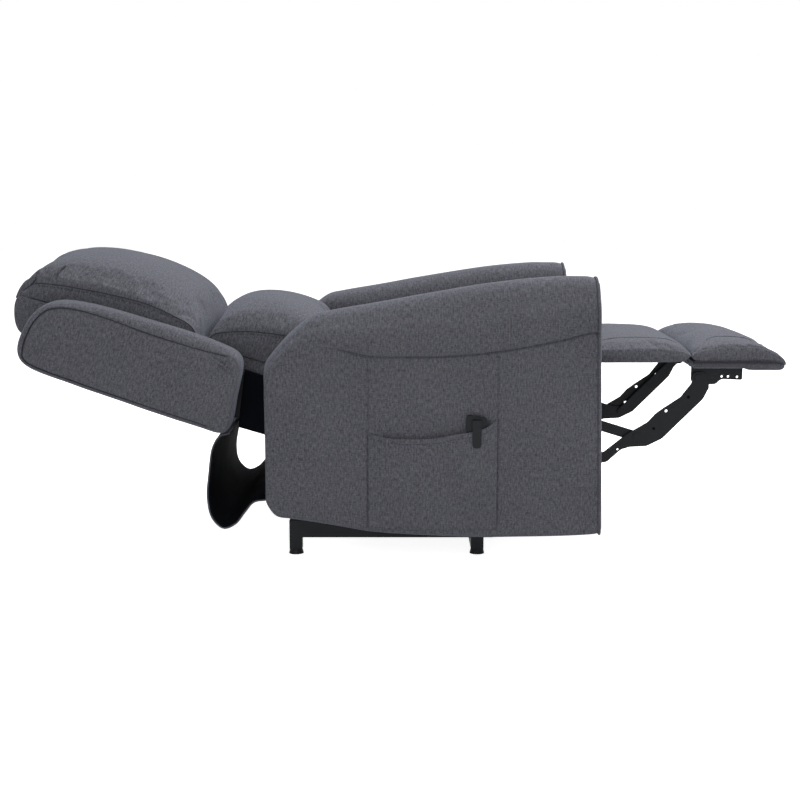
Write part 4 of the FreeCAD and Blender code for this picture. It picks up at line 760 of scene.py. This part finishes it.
outerPanel = {
    "count": 64, "across": 40, "half": 286.5, "power": 4.0, "round": 0.7, "gusset": 4, "bulge": 1.0, "notch": 1.5,
    "top": [(-106, 175), (-120, 176), (-124, 190), (-128.5, 300), (-129.5, 420), (-127, 560), (-122, 618),
            (-110, 648), (-92, 668), (-66, 672.5), (-42, 671), (-37, 662)],
    "edge": [(-106, 177), (-116, 178), (-118, 192), (-120, 300), (-120.5, 420), (-119.5, 560), (-116, 612),
             (-105, 640), (-88, 660), (-64, 667), (-43, 667), (-37, 662)],
    "under": [(-106, 175), (-104.4, 220), (-104.4, 420), (-104.4, 560), (-103, 612), (-92, 640), (-70, 655),
              (-37, 662)],
    "rumple": (0.25, 0.0012, 6.0),
}
stuffed("OuterBackPanel", outerPanel, back, "back", "outer_back_panel")
print("back pad and outer panel made")


# wings

wing = {
    "rear": -128, "front": 68, "low": 188.5, "high": 673, "inner": 288.4, "face": 70.6, "count": 150,
    "outline": [(0.806, -0.006), (0.898, 0.012), (0.944, 0.041), (0.985, 0.14), (1.005, 0.267), (1.010, 0.45),
                (1.010, 0.63), (0.992, 0.77), (0.955, 0.862), (0.903, 0.912), (0.830, 0.949), (0.660, 0.992),
                (0.434, 1.013), (0.30, 1.013), (0.224, 1.003), (0.160, 0.982), (0.112, 0.945), (0.083, 0.88),
                (0.060, 0.74), (0.042, 0.62), (0.026, 0.478), (0.004, 0.246), (-0.008, 0.10), (-0.012, 0.012),
                (0.030, -0.018), (0.133, -0.029), (0.45, -0.018)],
    # how far out each row is, its share of the side's inset, and what it is pulled in past that, with a
    # groove for the piping
    "rows": [(0.0, 2.2, 0), (0.6, 1.0, 0), (3.0, 0.45, 0), (9.0, 0.12, 0), (18.0, 0.0, 0), (32.0, -0.02, 0),
             (46.0, 0.02, 0), (56.0, 0.12, 0), (63.0, 0.32, 0), (67.5, 0.58, 0), (70.2, 0.84, 0), (70.6, 1.0, -1.6),
             (69.4, 1.0, -0.4), (64.0, 1.0, 0.8), (63.6, 1.0, 2.4), (69.2, 1.0, 3.8), (71.2, 1.0, 6.2),
             (72.4, 1.0, 14.0)],
    "spine": [(-30, 285), (-30, 575)], "spineOut": 72.4, "crown": 3.0,
    "folds": [
        ([(40, 362, 258), (29, 362, 228), (17, 360, 200)], 3.6, 2.6),
        ([(22, 362, 236), (14, 362, 214), (10, 358, 194)], 3.0, 2.6),
        ([(-60, 362, 640), (-90, 362, 622), (-100, 362, 590)], 1.4, 9),
        ([(10, 362, 470), (-10, 363, 455), (-34, 363, 450)], 1.0, 12),
        ([(-100, 361, 300), (-70, 363, 296), (-40, 363, 300)], 1.2, 12),
    ],
    "fine": 0.008,
    # out, past, radius, points around and material of the lines that follow the outline, and the heights over the low
    # end where they turn up and where they are cut; the near-black line in the piping's groove is painted shade of that
    # groove
    "trim": {"WingPiping": (68.8, -0.6, 0.0023, 8, "charcoalCloth"), "WingSeamShade": (67.4, 2.0, 0.0013, 6, "threadAndSeamShade")},
    "trimTurn": 36, "trimCut": 34,
}


def wingRing(out, share, past, side):
    # one row of a wing: the outline, pulled in most at the front, on the way to the flat low end
    low, depth, height = wing["low"], wing["front"] - wing["rear"], wing["high"] - wing["low"]
    line = flatLine([(wing["rear"] + a * depth, low + b * height) for a, b in wing["outline"]], wing["count"],
                    closed=True)
    ring = []
    for i, p in enumerate(line):
        ahead = (line[(i + 1) % len(line)] - line[i - 1]).normalized()
        outward = Vector((ahead.y, -ahead.x, 0))
        if outward.x * (p.x - wing["rear"] - depth / 2) < 0:
            outward = -outward
        if abs(ahead.x) > 0.9:
            outward = Vector((0, math.copysign(1, p.y - (low + height / 2)), 0))
        taper = ease(low - 20, low + 120, p.y) * (1 - 0.78 * ease(350, 600, p.y))
        inset = 9 + 15 * max(0.0, outward.x) ** 1.3 * taper + 6.5 * max(0.0, outward.y) ** 4
        flat = 1 - ease(low + 14, low + 60, p.y)
        reach = out + (wing["face"] - out) * flat if 60 < out < 70 and share == 1.0 else out
        q = p - outward * (inset * share + past)
        ring.append(backPoint(q.x, side * (wing["inner"] + reach), q.y))
    return ring


def wingMask(p):
    # only the outer panel is uneven
    return ease(0.300, 0.330, abs(p.y))


for side, hand in hands:
    rows = [wingRing(out, share, past, side) for out, share, past in wing["rows"]]
    spine = [backPoint(n, side * wing["inner"], u) for n, u in wing["spine"]]
    outer = [p + point(0, side * wing["spineOut"], 0) for p in spine]
    rows = toSpine(rows[0], spine, 6)[::-1] + rows + toSpine(rows[-1], outer, 12, point(0, side * wing["crown"], 0))
    bolster = skin(hand + "Wing", rows)
    flatMap(bolster, back["turn"])
    smoother(bolster)
    crease(bolster, foldsOf(wing, backPoint, side), wing["fine"])
    rumple(bolster, 0.13, 0.0014, 11.0 + side, mask=wingMask)
    fitPadded(bolster, "back", hand.lower() + "_wing")
    for part, (out, past, radius, around, finish) in wing["trim"].items():
        line = wingRing(out, 1.0, past, side)
        heights = [backLocal(p)[2] - wing["low"] for p in line]
        first = max(k for k in range(len(line))
                    if heights[k] < wing["trimTurn"] and heights[k - 1] < heights[k])
        turned = line[first:] + line[:first]
        line = [p for p in turned if backLocal(p)[2] - wing["low"] > wing["trimCut"]]
        fit(tube(hand + part, line, radius, around=around), "back", material=finish)
print("wings made")


# black cloth on both sides of the lower back

lining = {"corners": [(-125, 52), (4, 46), (10, 186), (-125, 164.5)], "face": 239.7, "steps": 24, "thick": 0.0018}


def clothPanel(name, rows, thickness):
    # a thin closed cloth from a grid of points
    obj = skin(name, rows, closed=False)
    finishWith(obj, "SOLIDIFY", thickness=thickness, offset=0.0)
    return obj


for side, hand in hands:
    a, b, c, d = [Vector((n, u, 0)) for n, u in lining["corners"]]
    steps = lining["steps"]
    rows = []
    for i in range(steps + 1):
        row = []
        for j in range(steps + 1):
            p = a.lerp(b, i / steps).lerp(d.lerp(c, i / steps), j / steps)
            edge = min(1.0, 4 * min(i, steps - i, j, steps - j) / steps)
            slack = 0.5 * (1.6 * noise.noise(Vector((p.x / 34, p.y / 60, side * 3.0))) - 1.2) * edge
            row.append(backPoint(p.x, side * (lining["face"] + slack), p.y))
        rows.append(row)
    cloth = clothPanel("BackSideCloth" + hand, rows, lining["thick"])
    fit(cloth, "back", "black_lining", ["back_side_lining"])
print("side lining made")


# arms

arm = {
    # x, and the heights of the bottom, of the roll's seam and of the ridge
    "stations": [(-315, 147, 418, 466), (-291, 119, 440, 495.6), (-261.5, 114, 474, 527.5), (-208, 106, 500, 570),
                 (-168, 99, 502, 580.3), (-78, 83, 483, 595.8), (60, 74, 481, 620), (205, 70, 493, 643),
                 (345, 71.5, 518, 656), (410.5, 75, 534, 656), (428.5, 78, 534, 652)],
    "inner": 250, "panel": 366, "outer": 370.5, "middle": 310, "lean": 0.0225,
    # x and pull of the rows that round off both ends of the cover
    "rearRows": [(-315, 11), (-314.4, 8), (-312.5, 4.5), (-309, 2), (-304, 0.6)],
    "frontRows": [(425.5, 0.0), (427.6, 1.2), (428.4, 3.0)],
    "rearSpine": [(-315, 308, 250), (-315, 308, 380)], "frontSpine": [(430.4, 309, 150), (427.0, 309, 580)],
    "first": -298, "pitch": 7.6, "last": 424,
    "seams": (-84, 205), "seamDepth": 3.2, "seamRows": (-6, -3.2, -1.5, 0, 1.5, 3.2, 6),
    "folds": [
        ([(-232, 368, 470), (-212, 369, 478), (-190, 369, 474)], 2.6, 8),
        ([(-205, 368, 500), (-180, 368, 494), (-150, 367, 484)], 1.6, 9),
        ([(-292, 364, 380), (-262, 367, 350), (-238, 367, 330)], 1.4, 14),
        ([(-70, 368, 470), (-30, 368, 468), (20, 368, 470)], 1.0, 12),
    ],
    # inset and shift of the facing's rows, from behind to ahead
    "facing": 428.5, "facingRows": [(6.0, 0.2), (1.0, 0.3), (1.2, 2.0), (2.6, 4.4), (6.0, 6.6), (11.0, 7.8)],
}


def armRing(x, side, pull=0.0, notch=0.0, inset=0.0, shift=0.0):
    # the arm's section at x: flat bottom, outer panel, groove of the roll's seam, roll and inner side
    bottom, roll, ridge = (valueAt(arm["stations"], x, k) for k in (1, 2, 3))
    lean = arm["lean"] * ease(330, 410, x)
    drop = ridge - roll
    inner, outer, middle = arm["inner"] + pull + inset, arm["panel"] - pull - inset, arm["middle"]
    swell = arm["outer"] - arm["panel"]
    bottom, ridge = bottom + pull * 0.4 + inset, ridge - pull * 0.5 - inset
    depth = 5.5 * ease(-185, -120, x)
    points = [(inner + 6, bottom + 0.5), (inner + 10, bottom)]
    points += [(inner + 10 + (outer - inner - 20) * k / 6, bottom) for k in range(1, 7)]
    points += [(outer - 6, bottom + 0.5), (outer - 1.5, bottom + 3)]
    for k in range(30):
        share = k / 29
        bulge = 1.6 * math.sin(math.pi * share) - notch * ease(0, 0.05, share)
        points.append((outer + bulge, bottom + 9 + (roll - 7 - bottom - 9) * share))
    points += [(outer - depth * 0.2 - notch, roll - 2.8), (outer - depth - notch, roll - 0.8),
               (outer - depth, roll + 0.8), (outer + swell * 0.1, roll + 2.8)]
    over = [(outer + swell * 0.6, roll + 8), (outer + swell, roll + drop * 0.28),
            (outer + swell * 0.4, roll + drop * 0.48), (outer - 8, roll + drop * 0.66),
            (outer - 16, roll + drop * 0.80), (outer - 26, roll + drop * 0.905), (outer - 41, ridge - drop * 0.022),
            (middle, ridge), (middle - 22, ridge - drop * 0.025), (inner + 16, roll + drop * 0.86),
            (inner + 4, roll + drop * 0.66), (inner, roll + drop * 0.42)]
    points += [(p.x, p.y) for p in flatLine(over, 44)]
    low = roll + drop * 0.42
    points += [(inner, low + (bottom + 9 - low) * k / 16) for k in range(1, 17)]
    points.append((inner + 1.5, bottom + 3))
    return [point(x + shift + lean * (400 - z), side * y, z) for y, z in points]


def armMask(p):
    # the cover is less uneven near its front end
    return 1.0 - 0.4 * ease(0.40, 0.44, p.x)


for side, hand in hands:
    rows = [armRing(x, side, pull) for x, pull in arm["rearRows"]]
    stops = [arm["first"] + arm["pitch"] * k for k in range(96)]
    for seamX in arm["seams"]:
        stops = [x for x in stops if abs(x - seamX) > 6.5] + [seamX + d for d in arm["seamRows"]]
    for x in sorted(x for x in stops if x < arm["last"]):
        notch = sum(arm["seamDepth"] * math.exp(-(((x - s) / 2.0) ** 2)) for s in arm["seams"])
        rows.append(armRing(x, side, notch=notch))
    rows += [armRing(x, side, pull) for x, pull in arm["frontRows"]]
    rear, front = ([point(x, side * y, z) for x, y, z in arm[key]] for key in ("rearSpine", "frontSpine"))
    cover = skin(hand + "ArmCover", toSpine(rows[0], rear, 6)[::-1] + rows + toSpine(rows[-1], front, 6))
    flatMap(cover)
    smoother(cover)
    rumple(cover, 0.17, 0.0012, 20.0 + side, mask=armMask)
    crease(cover, foldsOf(arm, point, side))
    fitPadded(cover, "chassis", hand.lower() + "_arm_cover")

    rows = [armRing(arm["facing"], side, inset=inset, shift=shift) for inset, shift in arm["facingRows"]]
    behind = toSpine(rows[0], [p + point(-2.0, 0, 0) for p in front], 4)
    ahead = toSpine(rows[-1], [p + point(7.5, 0, 0) for p in front], 8, point(1.2, 0, 0))
    facing = skin(hand + "ArmFacing", behind[::-1] + rows + ahead)
    flatMap(facing)
    smoother(facing)
    rumple(facing, 0.1, 0.0006, 31.0 + side)
    fitPadded(facing, "chassis", hand.lower() + "_arm_facing")
    cordPath = armRing(arm["facing"], side, inset=-0.6, shift=1.6)
    fit(tube(hand + "ArmPiping", cordPath, 0.0030, closed=True, normal=(1, 0, 0)), "chassis")
print("arms made")


# side pocket with the handset

pocket = {
    "rear": -83, "front": 204, "low": 90, "face": 366.6, "wall": 2.6, "columns": 72, "rows": 36,
    "mouth": [(-83, 310), (-40, 301), (7, 298), (60, 300), (110, 309), (168, 321), (190, 332), (204, 341)],
    # how far under the mouth the rows of the hem are, and its line of stitches
    "hem": (12.5, 11.0, 9.5, 3.5, 1.2, 0.0), "stitches": 11.4,
}


def pocketOut(x, z, top):
    # how far the pocket's cloth stands off the arm
    share = (z - pocket["low"]) / (top - pocket["low"])
    sides = ease(0, 46, x - pocket["rear"]) * ease(0, 22, pocket["front"] - x)
    hold = ease(96, 134, x) * (1 - ease(184, 203, x))
    bag = 6.0 * ease(0.0, 0.55, share) * sides
    mouth = (2.5 + 5.5 * ease(20, 125, x)) * ease(0.62, 1.0, share) * sides
    handset = 14.9 * hold * ease(0.20, 0.46, share)
    ripple = 3.0 * noise.noise(Vector((x / 30, z / 120, 7.7))) * sides * ease(0.05, 0.4, share)
    return min(0.8 + max(handset, bag + mouth + ripple), 16.2)


rows = []
for i in range(pocket["columns"] + 1):
    x = pocket["rear"] + (pocket["front"] - pocket["rear"]) * i / pocket["columns"]
    top = valueAt(pocket["mouth"], x)
    levels = [pocket["low"] + (top - 16 - pocket["low"]) * k / pocket["rows"] for k in range(pocket["rows"] + 1)]
    front, behind = [], []
    for z in levels + [top - d for d in pocket["hem"]]:
        out = pocket["face"] + pocketOut(x, z, top)
        fold = 0.9 * ease(top - 12.2, top - 10.4, z) - 0.7 * math.exp(-(((z - top + pocket["stitches"]) / 1.1) ** 2))
        front.append(point(x, -(out + pocket["wall"] * 0.5 + fold), z))
        behind.append(point(x, -(out - pocket["wall"] * 0.5 + (1.0 if z < top - 2 else 1.4)), z))
    rows.append(front + behind[::-1])
bag = skin("SidePocket", rows)
flatMap(bag)
bm = bmesh.new()
bm.from_mesh(bag.data)
bmesh.ops.holes_fill(bm, edges=bm.edges, sides=200)
bmesh.ops.recalc_face_normals(bm, faces=bm.faces)
for face in bm.faces:
    face.smooth = True
bm.to_mesh(bag.data)
bm.free()
fit(bag, "chassis", nodes=["handset_pocket"])

line = []
for k in range(90):
    x = pocket["rear"] + 3 + (pocket["front"] - pocket["rear"] - 6) * k / 89
    top = valueAt(pocket["mouth"], x)
    z = top - pocket["stitches"]
    line.append(point(x, -(pocket["face"] + pocketOut(x, z, top) + 1.9), z))
fit(stitches("PocketHemStitches", *layOn(bag, line)), "chassis", material="threadAndSeamShade")
print("pocket made")


# seat cushion, chaise pad and ottoman pad

seat = {
    "count": 72, "across": 56, "half": 242, "power": 5.0, "round": 0.5, "gusset": 5, "bulge": 1.0, "notch": 1.5,
    "top": [(410, -150), (420, -146), (425, -134), (426, -90), (428, -34), (444, -20), (464, -4), (478, 24),
            (489, 90), (500, 184), (512, 260), (520, 328), (510, 366), (490, 388), (456, 397), (420, 396), (406, 392)],
    "edge": [(410, -150), (417, -145), (422, -134), (422, -90), (424, -34), (436, -20), (454, -4), (466, 24),
             (478, 90), (489, 184), (501, 260), (508, 328), (500, 364), (482, 384), (452, 394), (420, 394), (406, 392)],
    "under": [(410, -150), (402.6, -120), (402.6, 0), (402.6, 200), (402.6, 360), (404, 388), (406, 392)],
    "rumple": (0.14, 0.0016, 14.0),
}
stuffed("MainCushion", seat, level, "chassis", "seat_cushion")

chaise = {
    "count": 60, "across": 64, "half": 238, "power": 2.6, "round": 0.5, "gusset": 8, "bulge": 3.5, "notch": 0.0,
    "top": [(470, 412), (480, 413.5), (489, 421), (497, 446), (503.5, 490), (504.5, 540), (503.5, 590), (499, 622),
            (489, 646), (479, 657), (469, 661)],
    "edge": [(470, 412), (474, 415), (477, 423), (479, 446), (480, 490), (481, 540), (480, 590), (478, 620),
             (475, 644), (471, 655), (468, 660.5)],
    "under": [(470, 412), (460, 420), (453.5, 440), (452.6, 500), (452.6, 590), (454, 634), (459, 650), (469, 661)],
    "hold": {"side": 236.5, "low": 456, "reach": 0.03, "near": 0.2, "soften": 0.0},
    "swell": {"grow": 0.03, "pressure": 2.0, "cap": 0.004},
    "rumple": (0.12, 0.0014, 17.0),
    "seam": (452, 648),
}
ottoman = {
    **chaise, "count": 68,
    "top": [(466, 662.6), (474, 664.5), (484, 671), (494, 686), (502, 706), (507, 732), (506.5, 764), (503, 792),
            (497, 816), (488, 838), (478, 856), (468, 868), (459, 876), (452, 879), (446.5, 877.5)],
    "edge": [(466, 662.6), (471, 665), (475, 672), (478, 688), (481, 708), (483, 734), (484, 764), (485, 790),
             (485, 813), (480, 834), (472, 852), (464, 866), (456.5, 875), (451, 878), (446.5, 877)],
    "under": [(466, 662.6), (459, 666), (453.5, 680), (452.6, 720), (452.6, 800), (452.6, 850), (452.4, 866),
              (450, 873), (446.5, 877)],
    "rumple": (0.11, 0.0014, 19.0),
    "seam": (700, 846),
}
padSeam = {"y": 166, "bow": 22, "height": 515, "steps": 40, "depth": 0.0016, "width": 0.0045, "radius": 0.0010}
pads = [(stuffed("ChaisePad", chaise, level, "ottoman", "chaise_pad"), "Chaise", chaise["seam"]),
        (stuffed("OttomanPad", ottoman, level, "ottoman", "ottoman_pad"), "Ottoman", ottoman["seam"])]
for body, label, (start, end) in pads:
    shares = [k / padSeam["steps"] for k in range(padSeam["steps"] + 1)]
    paths = {hand: [levelPoint(padSeam["height"], side * (padSeam["y"] + padSeam["bow"] * (2 * s - 1) ** 4),
                               start + (end - start) * s) for s in shares] for side, hand in hands}
    crease(body, [(line, padSeam["depth"], padSeam["width"]) for line in paths.values()])
    for hand, line in paths.items():
        laid, _ = layOn(body, line, lift=0.0002)
        fit(tube(label + "Seam" + hand, laid, padSeam["radius"], around=6), "ottoman")

board = {
    "rear": 664.4, "front": 876.4, "low": 438.4, "high": 452.2, "sag": 4.2, "middle": (0.768, 0.4453),
    # y and pull of the rows that round off an end
    "ends": [(238.0, 2.4), (237.4, 1.0), (235.5, 0.2), (232, 0)],
    # the line of a near-black cord along the top of the board: painted shade of the gap under the pad
    "cordPath": [(0.664, 0.2400, 0.4532), (0.75, 0.2405, 0.4532), (0.855, 0.2405, 0.4530), (0.871, 0.2365, 0.4490),
             (0.8765, 0.21, 0.4470)],
}


def boardRow(y, pull):
    # the cover's section at y, which sags under the front edge
    a, b, c, d = board["rear"] + pull, board["front"] - pull, board["low"] + pull, board["high"] - pull
    e = c - board["sag"]
    outline = [(a + 3, c), (782, c), (792, e + 0.8), (804, e), (b - 13, e), (b - 6, e + 1.4), (b - 2, e + 4.6),
               (b, e + 9), (b - 0.6, d - 3.5), (b - 3, d), (a + 3, d), (a + 0.8, d - 0.8), (a, d - 3), (a, c + 3),
               (a + 0.8, c + 0.8)]
    row = []
    for (x, z), (nx, nz) in zip(outline, outline[1:] + outline[:1]):
        parts = 24 if abs(nx - x) > 100 else (3 if abs(nz - z) > 5 else 1)
        row += [point(x + (nx - x) * s / parts, y, z + (nz - z) * s / parts) for s in range(parts)]
    return row


def boardCap(row):
    x, z = board["middle"]
    return [[p.lerp(Vector((x, p.y, z)), share) for p in row] for share in (0.5, 1)]


stops = [(-y, pull) for y, pull in board["ends"]] + [(-232 + 464 * k / 40, 0) for k in range(1, 40)]
rows = [boardRow(y, pull) for y, pull in stops + board["ends"][::-1]]
fit(skin("OttomanBoardCover", boardCap(rows[0])[::-1] + rows + boardCap(rows[-1])), "ottoman", nodes=["ottoman_board"])
# a near-black cord where the pad meets the board: painted shade of the gap between them
cordPath = lineThrough([(x, -y, z) for x, y, z in board["cordPath"]] + board["cordPath"][::-1], 200)
fit(tube("OttomanGapShade", cordPath, 0.0026), "ottoman", material="threadAndSeamShade")
print("seat and footrest pads made")


# rear skirt, a slack sheet from the back to the rear of the arms

skirt = {
    "start": (-397, 302.4), "reach": 81.6, "drop": 218.4, "half": 329, "columns": 44, "count": 72, "sag": -0.2,
    "line": [(0, 0), (-0.27, 0.025), (-0.478, 0.148), (-0.6, 0.446), (-0.65, 0.698), (-0.539, 0.89), (-0.22, 1.0),
             (0.098, 0.954), (0.368, 0.826), (0.625, 0.721), (1.0, 0.698)],
    # name, offset from the line and slot of each layer
    "layers": [("RearSkirtLining", -0.8, "black_lining"), ("RearSkirtCloth", 0.9, "charcoal_fabric")],
    "thick": 0.0014, "hemOffset": 0.5, "hemRadius": 0.0019,
}


def skirtGrid(offset):
    rows, last = [], skirt["count"] - 1
    for i in range(skirt["columns"] + 1):
        share = i / skirt["columns"]
        y = -skirt["half"] + 2 * skirt["half"] * share
        points = []
        for k, (along, down) in enumerate(skirt["line"]):
            swing = skirt["sag"] * share * math.sin(math.pi * k / (len(skirt["line"]) - 1))
            points.append((skirt["start"][0] + (along + swing) * skirt["reach"],
                           skirt["start"][1] - down * skirt["drop"]))
        line = flatLine(points, skirt["count"])
        row = []
        for j, p in enumerate(line):
            ahead = (line[min(j + 1, last)] - line[max(j - 1, 0)]).normalized()
            wave = 2.6 * noise.noise(Vector((y / 95, j / 16, 2.0))) * ease(0, 8, j) * ease(0, 8, last - j)
            q = p + Vector((ahead.y, -ahead.x, 0)) * (wave + offset)
            row.append(point(q.x, y, q.y))
        rows.append(row)
    return rows


def hangBetween(obj):
    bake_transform(obj)


for label, offset, slot in skirt["layers"]:
    cloth = clothPanel(label, skirtGrid(offset), skirt["thick"])
    fit(cloth, None, slot, ["rear_skirt"])
    hangBetween(cloth)
for edge, hand in ((0, "Right"), (-1, "Left")):
    hem = tube("RearSkirtHem" + hand, skirtGrid(skirt["hemOffset"])[edge], skirt["hemRadius"])
    fit(hem, None)
    hangBetween(hem)
print("skirt made")


# seat webbing, straps woven over and under each other

webbing = {"counts": (5, 6), "width": 0.05, "thick": 0.0014, "wave": 0.0008, "steps": 60}
low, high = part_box("seat_webbing")
pieces = []
for run, room in ((0, 1), (1, 0)):
    count, crossings = webbing["counts"][run], webbing["counts"][room]
    for k in range(count):
        rings = []
        for t in (s / webbing["steps"] for s in range(webbing["steps"] + 1)):
            wave = math.cos(math.pi * (t * crossings - 0.5 + k + run)) * webbing["wave"]
            ring = []
            for side, up in ((-1, -1), (1, -1), (1, 1), (-1, 1)):
                p = Vector((0, 0, (low.z + high.z) / 2 + wave + up * webbing["thick"] / 2))
                p[run] = low[run] + (high[run] - low[run]) * t
                p[room] = low[room] + (high[room] - low[room]) * (k + 0.5) / count + side * webbing["width"] / 2
                ring.append(p)
            rings.append(ring)
        pieces.append(rings)
straps = ringPieces("WebbingStraps", pieces, lambda p: (p.x, p.y), smooth=False)
fit(straps, "chassis", "webbing", ["seat_webbing"])
print("webbing made")


# floor, lamps and camera

stage = {
    "floor": 24.0, "glow": 0.90, "sky": 0.40,
    # place, aim, size and power of each lamp
    "lamps": {"topLamp": ((1.0, 0.3, 3.3), (0.1, 0, 0.4), (3.4, 3.0), 150.0),
              "frontLamp": ((-0.8, -4.2, 1.9), (0, 0, 0.4), (3.2, 2.2), 54.0),
              "rearLamp": ((1.5, 3.6, 2.2), (0, 0, 0.4), (3.0, 2.0), 26.0)},
    "camera": (-0.0124, -3.2532, 0.8367), "down": 8.889, "lens": 59.27, "sensor": 36,
}
bpy.ops.mesh.primitive_plane_add(size=stage["floor"], location=(0, 4, 0))
floor = bpy.context.object
floor.name = "Floor"
tree, shader, _ = startMaterial("paleFloor")
path = addNode(tree, "ShaderNodeLightPath").outputs
seen = mathNode(tree, "MAXIMUM", path["Is Camera Ray"],
                mathNode(tree, "MAXIMUM", path["Is Glossy Ray"], path["Is Transmission Ray"]))
setInputs(tree, shader, {
    "Base Color": (0.82, 0.82, 0.82, 1), "Roughness": 0.9, "Specular IOR Level": 0.1,
    "Emission Color": (1, 1, 1, 1), "Emission Strength": mathNode(tree, "MULTIPLY", seen, stage["glow"])})
floor.data.materials.append(materials["paleFloor"])

scene.world = bpy.data.worlds.new("studio")
scene.world.use_nodes = True
tree = scene.world.node_tree
path = addNode(tree, "ShaderNodeLightPath").outputs
seen = mathNode(tree, "MAXIMUM", path["Is Camera Ray"], path["Is Transmission Ray"])
strength = addNode(tree, "ShaderNodeMapRange", i0=seen, i1=0.0, i2=1.0, i3=stage["sky"], i4=1.0).outputs[0]
setInputs(tree, tree.nodes["Background"], {"Color": (1, 1, 1, 1), "Strength": strength})

for name, (place, aim, size, power) in stage["lamps"].items():
    data = bpy.data.lights.new(name, "AREA")
    data.shape = "RECTANGLE"
    data.size, data.size_y = size
    data.energy = power
    lamp = bpy.data.objects.new(name, data)
    scene.collection.objects.link(lamp)
    lamp.location = place
    lamp.rotation_euler = (Vector(aim) - Vector(place)).to_track_quat("-Z", "Y").to_euler()

camera = bpy.data.objects.new("Camera", bpy.data.cameras.new("Camera"))
scene.collection.objects.link(camera)
camera.data.sensor_width = stage["sensor"]
camera.data.lens = stage["lens"]
camera.location = stage["camera"]
camera.rotation_euler = (math.radians(90 - stage["down"]), 0, 0)
scene.camera = camera
scene.view_settings.view_transform = "Standard"
print("stage ready")
